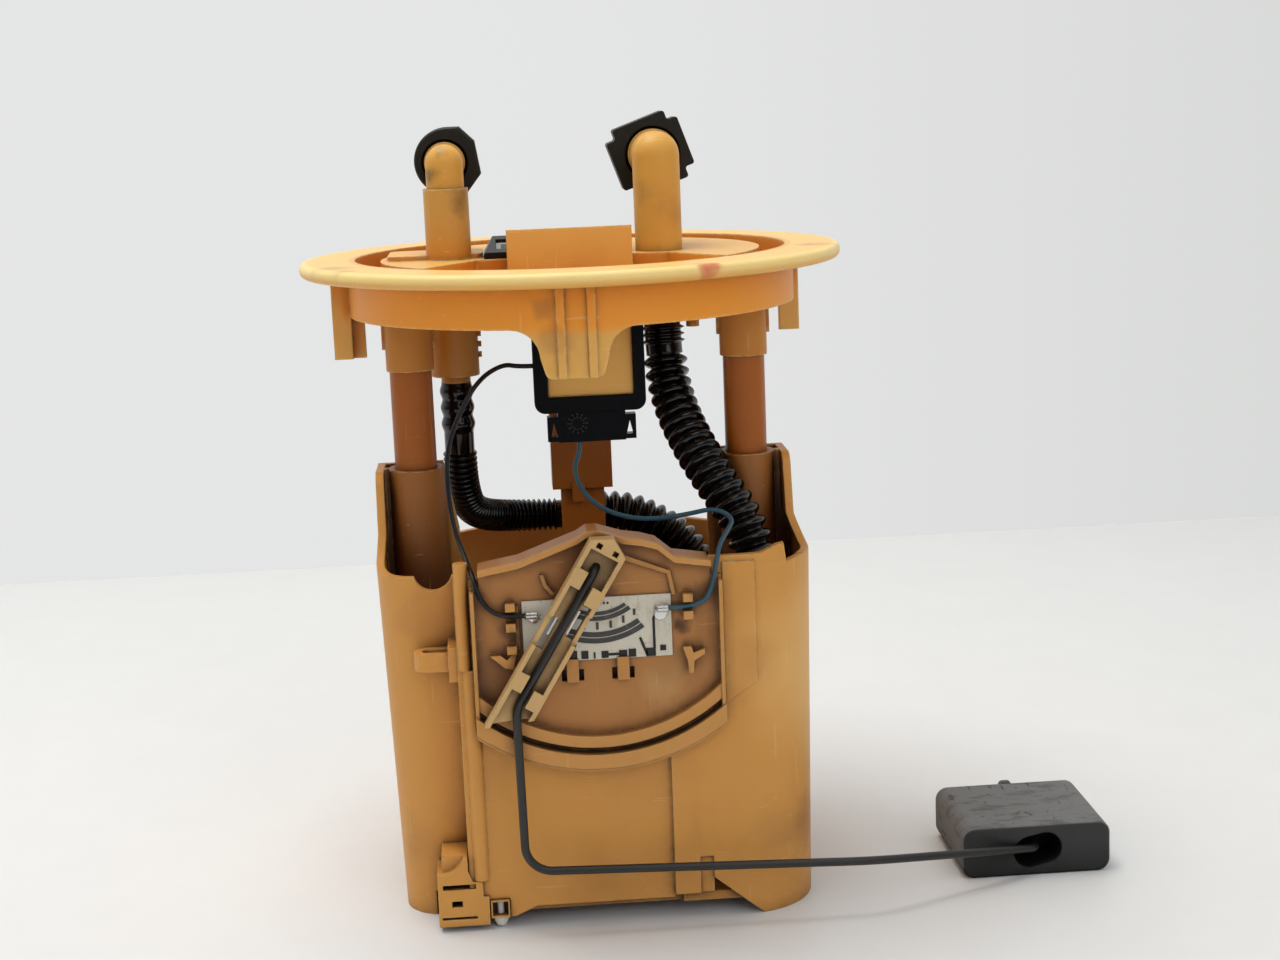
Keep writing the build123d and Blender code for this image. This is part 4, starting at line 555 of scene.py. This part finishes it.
# float and mesh
floatRubber = {
    "colour": (0.175, 0.176, 0.172), "worn": (0.30, 0.295, 0.28), "roughness": 0.72, "edge": 0.0010,
    "marks": {"stretch": (0.5, 1, 3), "scale": 55, "amount": 0.3, "share": 0.35, "rise": -0.15},
    "edgeBreakup": 250, "edgeShare": 0.45, "grainScale": 1100, "scratches": 0.9, "scratchShare": 0.35,
    # stretch, scale, detail, unevenness, where it starts and is full, share
    "scuff": (0.060, 0.058, 0.055), "scuffs": ((0.45, 1, 1), 210, 8, 0.72, 0.5, 0.62, 0.55),
    "dents": ((1, 0.25, 1), 480, 3, 0.5, 0.63, 0.68, 0.8),
    # the front face is coloured darker; the face lies at this depth
    "front": (0.039, 0.040, 0.039), "frontFace": -0.0467, "frontFade": 0.0004, "frontTurn": (0.6, 0.95),
    "paintedHollowShade": (0.003, 0.003, 0.003), "hollowReach": 0.02, "hollowOpen": 0.25,
    "cellScale": 1400, "cellShare": 0.5, "shine": 0.35, "bump": 0.45, "bumpDepth": 0.0003,
}
meshLook = {
    "colour": (0.48, 0.46, 0.41), "gap": (0.12, 0.10, 0.07), "roughness": 0.7, "weaveScale": 433.33333,
    "threads": (0.4, 0.7), "polish": 0.1, "bump": 0.5, "bumpDepth": 0.0002,
}


def makeFloatRubber(name, look):
    material, tree, shader, place = startMaterial(name)
    cells = addNode(tree, "ShaderNodeTexVoronoi")
    link(tree, place, cells.inputs["Vector"])
    setInputs(cells, Scale=look["cellScale"])
    marks = look["marks"]
    marked = placeGroup(tree, fuelStains, stretchedPlace(tree, place, marks["stretch"]), Scale=marks["scale"],
                        Amount=marks["amount"])["Mask"]
    edges = placeGroup(tree, rubbedEdges, place, Radius=look["edge"], Breakup=look["edgeBreakup"])
    grain = placeGroup(tree, mouldGrain, place, Scale=look["grainScale"], Scratches=look["scratches"])
    colour = tintBy(tree, marked, marks["share"], look["colour"], look["worn"])
    colour = tintBy(tree, edges["Mask"], look["edgeShare"], colour, look["worn"])
    colour = tintBy(tree, grain["Scratch Mask"], look["scratchShare"], colour, look["worn"])
    # scuffs run across the block and dents along it
    worked = []
    for stretch, scale, detail, unevenness, low, high, share in (look["scuffs"], look["dents"]):
        spots = noiseNode(tree, stretchedPlace(tree, place, stretch), scale, detail, unevenness)
        worked.append(times(tree, rangeNode(tree, spots, low, high), share))
    colour = mixColour(tree, mathNode(tree, "MAXIMUM", *worked), colour, look["scuff"])
    facing = splitParts(tree, addNode(tree, "ShaderNodeNewGeometry").outputs["True Normal"])
    turned = rangeNode(tree, times(tree, facing["Y"], -1.0), *look["frontTurn"])
    near = rangeNode(tree, splitParts(tree, place)["Y"], look["frontFace"], look["frontFace"] + look["frontFade"],
                     1.0, 0.8)
    colour = mixColour(tree, times(tree, turned, near), colour, look["front"])
    # painted shade: closed-in hollows of the float are coloured near black
    paintedHollowShade = placeGroup(tree, deepShade, place, Reach=look["hollowReach"], Open=look["hollowOpen"], Amount=1.0)
    colour = mixColour(tree, paintedHollowShade["Mask"], colour, look["paintedHollowShade"])
    setFinish(tree, shader, colour, marked, look["roughness"], marks["rise"])
    setInputs(shader, Specular_IOR_Level=look["shine"])
    pits = plus(tree, times(tree, cells.outputs["Distance"], look["cellShare"]), grain["Height"])
    addBump(tree, shader, pits, look["bump"], look["bumpDepth"], edges["Normal"])
    return material


def makeMeshCloth(name, look):
    material, tree, shader, place = startMaterial(name)
    bands = []
    for direction in ("X", "Y"):
        wave = addNode(tree, "ShaderNodeTexWave", bands_direction=direction)
        link(tree, place, wave.inputs["Vector"])
        setInputs(wave, Scale=look["weaveScale"])
        bands.append(wave.outputs["Fac"])
    weave = mathNode(tree, "MAXIMUM", *bands)
    colour = mixColour(tree, rangeNode(tree, weave, *look["threads"]), look["gap"], look["colour"])
    setFinish(tree, shader, colour, weave, look["roughness"] + look["polish"], -look["polish"])
    addBump(tree, shader, weave, look["bump"], look["bumpDepth"])
    return material


finishes = {name: makeAcetal(name, look) for name, look in acetalLooks.items()}
finishes.update({name: makePlain(name, look) for name, look in plainLooks.items()})
finishes["floatRubber"] = makeFloatRubber("floatRubber", floatRubber)
finishes["meshCloth"] = makeMeshCloth("meshCloth", meshLook)
print("finishes made:", len(finishes))


# hoses and wires with their real ribs
def readSpline(name, points):
    # smooth line through the air that a hose or wire follows, sampled closely
    data = bpy.data.curves.new(name, "CURVE")
    data.dimensions = "3D"
    data.resolution_u = 24
    spline = data.splines.new("NURBS")
    spline.points.add(len(points) - 1)
    for point, place in zip(spline.points, points):
        point.co = (*mm(*place), 1.0)
    spline.order_u = 3
    spline.use_endpoint_u = True
    holder = addObject(name, data)
    bpy.context.view_layer.update()
    line = bpy.data.meshes.new_from_object(holder)
    places = [Vector(vertex.co) for vertex in line.vertices]
    bpy.data.objects.remove(holder)
    length = sum((b - a).length for a, b in zip(places, places[1:]))
    return line, places, length


# what a hose wall takes, in metres; rings lie near its start and ribs along the rest
wallValues = {
    "mean": 0.0063, "rib": 0.0012, "pitch": 0.0032, "firstRib": 0.012, "lastRib": 0.1, "sharpness": 1.0,
    "ring": 0.0, "ringPitch": 0.002, "firstRing": 0.0, "lastRing": 0.0, "ringSharpness": 1.0, "step": 0.0003,
}


def buildRibTree():
    # a hose wall whose radius rises and falls along its line
    tree = bpy.data.node_groups.new("ribbedWall", "GeometryNodeTree")

    def addSocket(label, kind, way="INPUT"):
        return tree.interface.new_socket(name=label, in_out=way, socket_type="NodeSocket" + kind)

    addSocket("Geometry", "Geometry")
    for label, start in wallValues.items():
        addSocket(label, "Float").default_value = start
    addSocket("sides", "Int").default_value = 40
    addSocket("skin", "Material")
    addSocket("Geometry", "Geometry", "OUTPUT")
    source = tree.nodes.new("NodeGroupInput")
    result = tree.nodes.new("NodeGroupOutput")

    def calc(operation, first, second=None):
        return mathNode(tree, operation, first, second)

    def after(socket, kind, label, **settings):
        node = addNode(tree, kind, **settings)
        link(tree, socket, node.inputs[label])
        return node

    toCurve = after(source.outputs["Geometry"], "GeometryNodeMeshToCurve", "Mesh")
    even = after(toCurve.outputs["Curve"], "GeometryNodeResampleCurve", "Curve", mode="LENGTH")
    link(tree, source.outputs["step"], even.inputs["Length"])
    along = addNode(tree, "GeometryNodeSplineParameter").outputs["Length"]

    def swell(first, last, pitch, sharpness, height, sink):
        # rounded rings between two places along the line
        turns = calc("DIVIDE", calc("SUBTRACT", along, source.outputs[first]), source.outputs[pitch])
        wave = calc("COSINE", calc("MULTIPLY", turns, 2 * math.pi))
        raised = calc("MULTIPLY", calc("SUBTRACT", 1.0, wave), 0.5)
        crest = calc("SUBTRACT", calc("POWER", raised, source.outputs[sharpness]), sink)
        inside = calc("MULTIPLY", calc("GREATER_THAN", along, source.outputs[first]),
                      calc("LESS_THAN", along, source.outputs[last]))
        return calc("MULTIPLY", calc("MULTIPLY", crest, source.outputs[height]), inside)

    ribs = swell("firstRib", "lastRib", "pitch", "sharpness", "rib", 0.5)
    rings = swell("firstRing", "lastRing", "ringPitch", "ringSharpness", "ring", 0.0)
    radius = calc("ADD", source.outputs["mean"], calc("ADD", ribs, rings))
    sized = after(even.outputs["Curve"], "GeometryNodeSetCurveRadius", "Curve")
    link(tree, radius, sized.inputs["Radius"])
    ring = after(source.outputs["sides"], "GeometryNodeCurvePrimitiveCircle", "Resolution", mode="RADIUS")
    ring.inputs["Radius"].default_value = 1.0
    wall = after(sized.outputs["Curve"], "GeometryNodeCurveToMesh", "Curve")
    link(tree, ring.outputs["Curve"], wall.inputs["Profile Curve"])
    if "Scale" in wall.inputs:
        link(tree, radius, wall.inputs["Scale"])
    wall.inputs["Fill Caps"].default_value = True
    smooth = after(wall.outputs["Mesh"], "GeometryNodeSetShadeSmooth", "Geometry")
    real = after(smooth.outputs["Geometry"], "GeometryNodeRealizeInstances", "Geometry")
    skin = after(real.outputs["Geometry"], "GeometryNodeSetMaterial", "Geometry")
    link(tree, source.outputs["skin"], skin.inputs["Material"])
    link(tree, skin.outputs["Geometry"], result.inputs["Geometry"])
    return tree


def runTree(name, base, tree, values):
    # runs a tree on a mesh and keeps only the finished mesh
    holder = addObject(name, base)
    modifier = holder.modifiers.new("build", "NODES")
    modifier.node_group = tree
    sockets = {item.name: item.identifier for item in tree.interface.items_tree if item.in_out == "INPUT"}
    for label, value in values.items():
        modifier[sockets[label]] = value
    bpy.context.view_layer.update()
    seen = holder.evaluated_get(bpy.context.evaluated_depsgraph_get())
    mesh = bpy.data.meshes.new_from_object(seen)
    mesh.name = name
    bpy.data.objects.remove(holder)
    return addObject(name, mesh)


def pointOutwards(piece):
    mesh = bmesh.new()
    mesh.from_mesh(piece.data)
    bmesh.ops.recalc_face_normals(mesh, faces=mesh.faces)
    mesh.to_mesh(piece.data)
    mesh.free()


ribTree = buildRibTree()

feedHose = {
    "route": [
        (-34.8, -4, 144.5), (-34.8, -4, 127), (-34.9, 0.5, 113), (-32.6, 11.5, 102.4),
        (-21, 28, 97.4), (-5, 28, 97.4),
    ],
    "mean": 0.0043, "rib": 0.0013, "pitch": 0.00165, "firstRib": 0.0205, "endSmooth": 0.002, "sharpness": 0.6,
    "firstRing": 0.0002, "lastRing": 0.0146, "ringPitch": 0.0048, "ring": 0.0006, "ringSharpness": 0.8,
}
pumpHose = {
    "route": [
        (5, 28, 97.4), (12.5, 28, 97.4), (20.8, 28, 94.4), (28.2, 27.8, 89.6), (34.4, 27.4, 82.8),
        (38, 27, 75.8), (38, 27, 69),
    ],
    "mean": 0.0055, "rib": 0.0021, "pitch": 0.0033, "firstRib": 0.001, "endSmooth": 0.003, "sharpness": 0.42,
}
returnHose = {
    "route": [
        (25.4, -4, 168), (25.4, -4, 151.5), (27.2, -10, 136.6), (32, -23.5, 124.8),
        (37.4, -32.5, 115.8), (42.6, -38, 107.6), (46.2, -41.5, 97.5), (47.3, -42.2, 85.5),
        (47.6, -42, 71), (47.6, -42, 52),
    ],
    "mean": 0.0053, "rib": 0.0023, "pitch": 0.00365, "firstRib": 0.0185, "endSmooth": 0.004, "sharpness": 0.42,
    "firstRing": 0.0096, "lastRing": 0.0155, "ringPitch": 0.00195, "ring": 0.0011, "ringSharpness": 2.0,
}
hoseMesh = {"stepsPerRib": 14, "sides": 40}


def makeHose(name, look):
    line, places, length = readSpline(name + "Line", look["route"])
    values = {key: value for key, value in look.items() if key in wallValues}
    hose = runTree(name, line, ribTree, {
        **values, "lastRib": length - look["endSmooth"], "step": look["pitch"] / hoseMesh["stepsPerRib"],
        "sides": hoseMesh["sides"], "skin": finishes["hoseNylon"],
    })
    pointOutwards(hose)
    print("hose", name, "length", round(length * 1000, 1), "mm,", len(hose.data.polygons), "faces")
    return hose, places, length


signalWire = {
    "route": [
        (-12.9, -29, 151.3), (-16.9, -29, 151.3), (-21, -33.5, 152.8), (-27.6, -39.5, 150),
        (-33.1, -43.5, 142.2), (-37.4, -45, 132), (-37.9, -45.5, 121), (-36.4, -49, 109.5),
        (-33.4, -56, 102.6), (-32.2, -62.2, 100.6), (-31.1, -65.1, 96.4), (-28.6, -65.2, 91.8),
        (-24.6, -64.8, 89.4), (-18.8, -64.8, 89.4),
    ],
    "radius": 0.00065, "skin": "wireBlack",
}
groundWire = {
    "route": [
        (-0.8, -29, 129.6), (-0.8, -29, 126.6), (-3, -32.5, 122.6), (-1.4, -37, 117.2),
        (3.2, -41, 112.8), (10, -43.5, 110.2), (18, -44.5, 109.3), (27, -46, 110.6),
        (34.6, -48, 112.4), (39.4, -50.5, 109.8), (37, -56, 107.6), (34, -61.6, 105.2),
        (32.5, -64.6, 99.4), (31.3, -65.2, 94.2), (28.4, -64.8, 89.4), (19.8, -64.8, 89.4),
    ],
    "radius": 0.00065, "skin": "wireBlue",
}
wireMesh = {"step": 0.0006, "sides": 14}


def makeWire(name, look):
    line, places, length = readSpline(name + "Line", look["route"])
    wire = runTree(name, line, ribTree, {
        "mean": look["radius"], "rib": 0.0, "firstRib": 0.0, "lastRib": length,
        "step": wireMesh["step"], "sides": wireMesh["sides"], "skin": finishes[look["skin"]],
    })
    pointOutwards(wire)
    print("wire", name, "length", round(length * 1000, 1), "mm")
    return wire, places, length


feedHosePiece, feedLine, feedLength = makeHose("feedHoseRibbed", feedHose)
pumpHosePiece = makeHose("pumpHoseRibbed", pumpHose)[0]
returnHosePiece, returnLine, returnLength = makeHose("returnHoseRibbed", returnHose)
signalPiece, signalLine, signalLength = makeWire("signalWireRun", signalWire)
groundPiece, groundLine, groundLength = makeWire("groundWireRun", groundWire)

# the hoses and wires hang from the cover; the frame's own hose and wire pieces are hidden, and the pump hose rides
# with the reservoir
slidingCords = (
    (feedHosePiece, feedLine, feedLength, "feed_hose", "hose_black", 0.0095, "medium"),
    (returnHosePiece, returnLine, returnLength, "return_hose", "hose_black", 0.0126, "medium"),
    (signalPiece, signalLine, signalLength, "signal_wire", "wire_black", 0.0013, "medium"),
    (groundPiece, groundLine, groundLength, "ground_wire", "wire_blue", 0.0013, "medium"),
)
for piece, line, length, node, slot, diameter, stiffness in slidingCords:
    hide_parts(node)
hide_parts("pump_hose")
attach(pumpHosePiece, "reservoir")
print("hoses and wires made")


# coil springs in the guide tubes, wound from their foot in the pot up to their head
guideSpring = {
    "spread": 47, "depth": -20, "foot": 10.4, "head": 61.2, "coilRadius": 4.7, "wireRadius": 0.6, "turns": 13,
    "stepsPerTurn": 28, "step": 0.001, "sides": 10, "hold": 1,
}


def makeSpring(name, node, side, look):
    steps = look["turns"] * look["stepsPerTurn"]
    places = []
    for step in range(steps + 1):
        turn = 2 * math.pi * step / look["stepsPerTurn"]
        rise = look["foot"] + (look["head"] - look["foot"]) * step / steps
        places.append(mm(side * look["spread"] + look["coilRadius"] * math.cos(turn),
                         look["depth"] + look["coilRadius"] * math.sin(turn), rise))
    line = bpy.data.meshes.new(name + "Line")
    line.from_pydata(places, [(step, step + 1) for step in range(steps)], [])
    spring = runTree(name, line, ribTree, {
        "mean": look["wireRadius"] / 1000, "rib": 0.0, "firstRib": 0.0, "lastRib": 1.0,
        "step": look["step"], "sides": look["sides"], "skin": finishes["springSteel"],
    })
    pointOutwards(spring)
    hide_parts(node)
    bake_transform(spring)


makeSpring("springCoilLeft", "guide_spring_left", -1, guideSpring)
makeSpring("springCoilRight", "guide_spring_right", 1, guideSpring)
print("springs made")


# which rigid pieces get which finish
finishPieces = {
    "coverAcetal": ("flange_cover",),
    "elbowAcetal": ("feed_elbow", "return_elbow"),
    "rodAcetal": ("guide_channel", "guide_rail", "guide_rod_left", "guide_rod_right"),
    "potAcetal": ("reservoir_pot", "bottom_cover"),
    "bracketAcetal": ("sender_bracket",),
    "armAcetal": ("wiper_arm",),
    "collarNylon": ("feed_collar", "return_collar"),
    "blackNylon": ("connector_socket", "hose_coupling"),
    "holderNylon": ("connector_holder",),
    "pumpNylon": ("pump_holder", "jet_pump_body", "pump_cap", "pump_inlet", "isolator_upper", "isolator_lower"),
    "greySeal": ("connector_seal",),
    "whiteNylon": ("inlet_valve", "jet_nozzle", "strainer_frame"),
    "meshCloth": ("strainer_mesh",),
    "tinPlate": ("connector_pins", "solder_joint_left", "solder_joint_right", "wiper_contacts"),
    "canSteel": ("pump_can",),
    "ceramic": ("sender_card",),
    "wireSteel": ("float_wire",),
    "capNylon": ("wire_cap",),
    "floatRubber": ("float_block",),
}
for finishName, pieceNames in finishPieces.items():
    for pieceName in pieceNames:
        mesh = nodes[pieceName].data
        mesh.materials.clear()
        mesh.materials.append(finishes[finishName])
print("finishes applied")


# thin printed and moulded details that lie on the card and on the connector holder
cardPrint = {
    "front": -63.86, "back": -63.72, "pivot": (0.5, 102.5),
    "pads": [
        (-7.5, -5.3, 76.1, 78.7), (-4.2, -2.3, 76.3, 78.5), (1.2, 3.1, 76.3, 78.2), (5.9, 8.1, 76.1, 78.2),
        (8.5, 10.5, 76.2, 78.4), (13.2, 15.8, 76.1, 78.4), (17, 18.6, 77.5, 79), (-0.9, -0.4, 76.3, 78),
    ],
    "lines": [
        ((11.7, 81.4), (13.5, 76.6)), ((15.5, 78.3), (15.5, 86.7)), ((-6.4, 78.7), (-5.6, 80.6)),
        ((3.1, 77.2), (5.9, 77.2)), ((15.5, 86.7), (17, 88.6)),
    ],
    "lineHalf": 0.35,
    "dots": [(0.4, 91.4), (1.4, 91.4), (2.4, 91.4), (3.4, 91.4)], "dotHalf": 0.28,
    # radius, half width, first and last bearing from straight down, in degrees
    "arcs": [
        (21.4, 0.7, -36, 34.4), (19.7, 0.7, -36, 34), (15.3, 0.6, -40, 34.5), (13.9, 0.5, -40, 33),
    ],
    "arcSteps": 32,
    "bars": [
        (-6.8, 85.2, 87.2), (-3.2, 84.4, 86.4), (0.4, 84.2, 86.2), (4, 84.5, 86.5), (7.4, 85.7, 87.7),
        (10.4, 87.7, 89.4),
    ],
    "barHalf": 0.36,
}
dialTicks = {
    "centre": (-1.2, 134.8), "front": -30.72, "back": -30.3, "inner": 1.5, "outer": 2.9, "half": 0.16, "count": 12,
}


def makePlates(name, outlines, front, back, finish, body):
    # flat outlines in X and Z, each given a small thickness
    plates = bmesh.new()
    for outline in outlines:
        near = [plates.verts.new(mm(x, front, z)) for x, z in outline]
        far = [plates.verts.new(mm(x, back, z)) for x, z in outline]
        plates.faces.new(near)
        plates.faces.new(list(reversed(far)))
        for index in range(len(outline)):
            after = (index + 1) % len(outline)
            plates.faces.new((near[after], near[index], far[index], far[after]))
    bmesh.ops.recalc_face_normals(plates, faces=plates.faces)
    mesh = bpy.data.meshes.new(name)
    plates.to_mesh(mesh)
    plates.free()
    mesh.materials.append(finishes[finish])
    piece = addObject(name, mesh)
    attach(piece, body)
    return piece


def box(left, right, low, high):
    return [(left, low), (right, low), (right, high), (left, high)]


def stroke(first, last, half):
    start, end = Vector(first), Vector(last)
    along = (end - start).normalized() * half
    side = Vector((-along.y, along.x))
    return [tuple(corner) for corner in (start + side, start - side, end - side, end + side)]


def arcBand(centre, radius, half, firstBearing, lastBearing, steps):
    span = lastBearing - firstBearing
    bearings = [math.radians(firstBearing + span * step / steps) for step in range(steps + 1)]

    def edge(reach):
        return [(centre[0] + reach * math.sin(b), centre[1] - reach * math.cos(b)) for b in bearings]

    return edge(radius + half) + edge(radius - half)[::-1]


def makeCardPrint(look):
    pads = [box(*pad) for pad in look["pads"]]
    pads += [stroke(first, last, look["lineHalf"]) for first, last in look["lines"]]
    half = look["dotHalf"]
    pads += [box(x - half, x + half, z - half, z + half) for x, z in look["dots"]]
    makePlates("cardPads", pads, look["front"], look["back"], "padInk", "reservoir")
    bands = [arcBand(look["pivot"], *arc, look["arcSteps"]) for arc in look["arcs"]]
    bands += [box(x - look["barHalf"], x + look["barHalf"], low, high) for x, low, high in look["bars"]]
    arcs = makePlates("cardArcs", bands, look["front"], look["back"], "ink", "reservoir")
    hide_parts("card_tracks")


def makeDial(look):
    ticks = []
    for index in range(look["count"]):
        bearing = math.radians(360 * index / look["count"])
        ends = [(look["centre"][0] + reach * math.cos(bearing), look["centre"][1] + reach * math.sin(bearing))
                for reach in (look["inner"], look["outer"])]
        ticks.append(stroke(*ends, look["half"]))
    makePlates("dialTicks", ticks, look["front"], look["back"], "marking", "cover")


# lumps of solder over the two wire ends, each with its own uneven skin
solderLumps = {
    "left": {"centre": (-16.2, -64.3, 88.7), "radii": (1.8, 0.55, 1.6), "seed": 4},
    "right": {"centre": (17.5, -64.3, 88.2), "radii": (1.8, 0.55, 2.2), "seed": 9},
    "uneven": 0.16, "detail": 4, "grain": 1.55, "spread": 50,
}


def makeSolder(side, look):
    lump = look[side]
    rng = random.Random(lump["seed"])
    shift = Vector([rng.uniform(0, look["spread"]) for axis in range(3)])
    centre = mm(*lump["centre"])
    ball = bmesh.new()
    bmesh.ops.create_icosphere(ball, subdivisions=look["detail"], radius=1.0)
    for vertex in ball.verts:
        swell = 1.0 + look["uneven"] * noise.noise(vertex.co * look["grain"] + shift)
        vertex.co = [centre[axis] + vertex.co[axis] * swell * lump["radii"][axis] / 1000 for axis in range(3)]
    for face in ball.faces:
        face.smooth = True
    mesh = bpy.data.meshes.new("solderLump")
    ball.to_mesh(mesh)
    ball.free()
    mesh.materials.append(finishes["tinPlate"])
    piece = addObject("solderLump" + side.capitalize(), mesh)
    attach(piece, "reservoir")


makeSolder("left", solderLumps)
makeSolder("right", solderLumps)
makeCardPrint(cardPrint)
makeDial(dialTicks)
print("print and ticks made")


# table, wall and lamps
studio = {
    "floorColour": (0.80, 0.80, 0.785), "speckShade": 0.985, "floorRoughness": 0.45, "floorShine": 0.3,
    "wallColour": (0.78, 0.785, 0.785), "wallRoughness": 0.9, "wallDistance": 0.40, "wallHeight": 2.5, "reach": 3,
    "wallShade": (0.69, 0.70, 0.69), "shadeFrom": -0.05, "shadeTo": 0.45,
    # place, target, size, power, colour
    "keyLamp": ((-0.25, 0.10, 1.15), (0, 0, 0.08), 0.8, 8.6, (1, 0.99, 0.97)),
    "fillLamp": ((0.5, -1.1, 0.75), (0, 0, 0.1), 0.9, 2.6, (0.98, 0.99, 1)),
    "worldColour": (0.97, 0.98, 1), "worldLevel": 0.52, "dimLevel": 0.06, "dimTo": (-0.35, 0.75), "rise": 1.1,
}


def mixShaders(tree, factor, first, second):
    node = addNode(tree, "ShaderNodeMixShader")
    for socket, source in zip(node.inputs, (factor, first, second)):
        link(tree, source, socket)
    return node.outputs[0]


def reflectedRay(tree, path):
    return mathNode(tree, "MAXIMUM", path.outputs["Is Glossy Ray"], path.outputs["Is Transmission Ray"])


def shownLevel(tree, colour, strength, shader):
    # a flat bright card for the camera and for what reflects it; everything else sees the plain surface
    path = addNode(tree, "ShaderNodeLightPath")
    seen = mathNode(tree, "MAXIMUM", path.outputs["Is Camera Ray"], reflectedRay(tree, path))
    glow = addNode(tree, "ShaderNodeEmission")
    link(tree, colour, glow.inputs["Color"])
    glow.inputs["Strength"].default_value = strength
    return mixShaders(tree, seen, shader, glow.outputs[0])


def makeCard(name, corners, material):
    mesh = bpy.data.meshes.new(name)
    mesh.from_pydata(corners, [], [(0, 1, 2, 3)])
    mesh.materials.append(material)
    addObject(name, mesh)


def makeLamp(name, place, target, size, power, colour):
    data = bpy.data.lights.new(name, "AREA")
    data.shape = "DISK"
    data.size = size
    data.energy = power
    data.color = colour
    holder = addObject(name, data)
    holder.location = place
    holder.rotation_mode = "QUATERNION"
    holder.rotation_quaternion = (Vector(target) - Vector(place)).to_track_quat("-Z", "Y")


def makeWorld(look):
    # reflections find a pale room behind and above, and a dim one in front
    world = bpy.data.worlds.new("studioWorld")
    world.use_nodes = True
    bpy.context.scene.world = world
    tree = world.node_tree

    def sky(colour):
        node = addNode(tree, "ShaderNodeBackground")
        node.inputs["Color"].default_value = (*colour, 1.0)
        return node

    lit = sky(look["worldColour"])
    lit.inputs["Strength"].default_value = look["worldLevel"]
    direction = splitParts(tree, addNode(tree, "ShaderNodeTexCoord").outputs["Generated"])
    rise = plus(tree, direction["Y"], times(tree, direction["Z"], look["rise"]))
    reflected = sky(look["wallColour"])
    link(tree, rangeNode(tree, rise, *look["dimTo"], look["dimLevel"], 1.0), reflected.inputs["Strength"])
    path = addNode(tree, "ShaderNodeLightPath")
    mirrored = mixShaders(tree, reflectedRay(tree, path), lit.outputs[0], reflected.outputs[0])
    shown = mixShaders(tree, path.outputs["Is Camera Ray"], mirrored, sky(look["wallColour"]).outputs[0])
    link(tree, shown, tree.nodes["World Output"].inputs["Surface"])


def makeStudio(look):
    floorMaterial, tree, shader, place = startMaterial("studioTable")
    speck = rangeNode(tree, noiseNode(tree, place, 40.0, 3.0), 0.3, 0.7)
    shaded = tuple(look["speckShade"] * part for part in look["floorColour"])
    link(tree, mixColour(tree, speck, look["floorColour"], shaded), shader.inputs["Base Color"])
    setInputs(shader, Roughness=look["floorRoughness"], Specular_IOR_Level=look["floorShine"])
    wallMaterial, tree, shader, place = startMaterial("studioWall")
    setInputs(shader, Base_Color=(*look["wallColour"], 1.0), Roughness=look["wallRoughness"])
    shadeShare = rangeNode(tree, splitParts(tree, place)["X"], look["shadeFrom"], look["shadeTo"])
    wallTint = mixColour(tree, shadeShare, look["wallColour"], look["wallShade"])
    shown = shownLevel(tree, wallTint, 1.0, shader.outputs[0])
    behind = addNode(tree, "ShaderNodeNewGeometry").outputs["Backfacing"]
    oneSided = mixShaders(tree, behind, shown, addNode(tree, "ShaderNodeBsdfTransparent").outputs[0])
    link(tree, oneSided, tree.nodes["Material Output"].inputs["Surface"])
    side, back, top = look["reach"], look["wallDistance"], look["wallHeight"]
    makeCard("studioFloor", [(-side, -side, 0), (side, -side, 0), (side, back, 0), (-side, back, 0)], floorMaterial)
    makeCard("studioWall", [(-side, back, 0), (side, back, 0), (side, back, top), (-side, back, top)], wallMaterial)
    makeLamp("keyLamp", *look["keyLamp"])
    makeLamp("fillLamp", *look["fillLamp"])
    makeWorld(look)
    bpy.context.scene.view_settings.view_transform = "Standard"


makeStudio(studio)
print("studio lit")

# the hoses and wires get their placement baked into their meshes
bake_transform(feedHosePiece)
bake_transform(returnHosePiece)
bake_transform(signalPiece)
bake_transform(groundPiece)
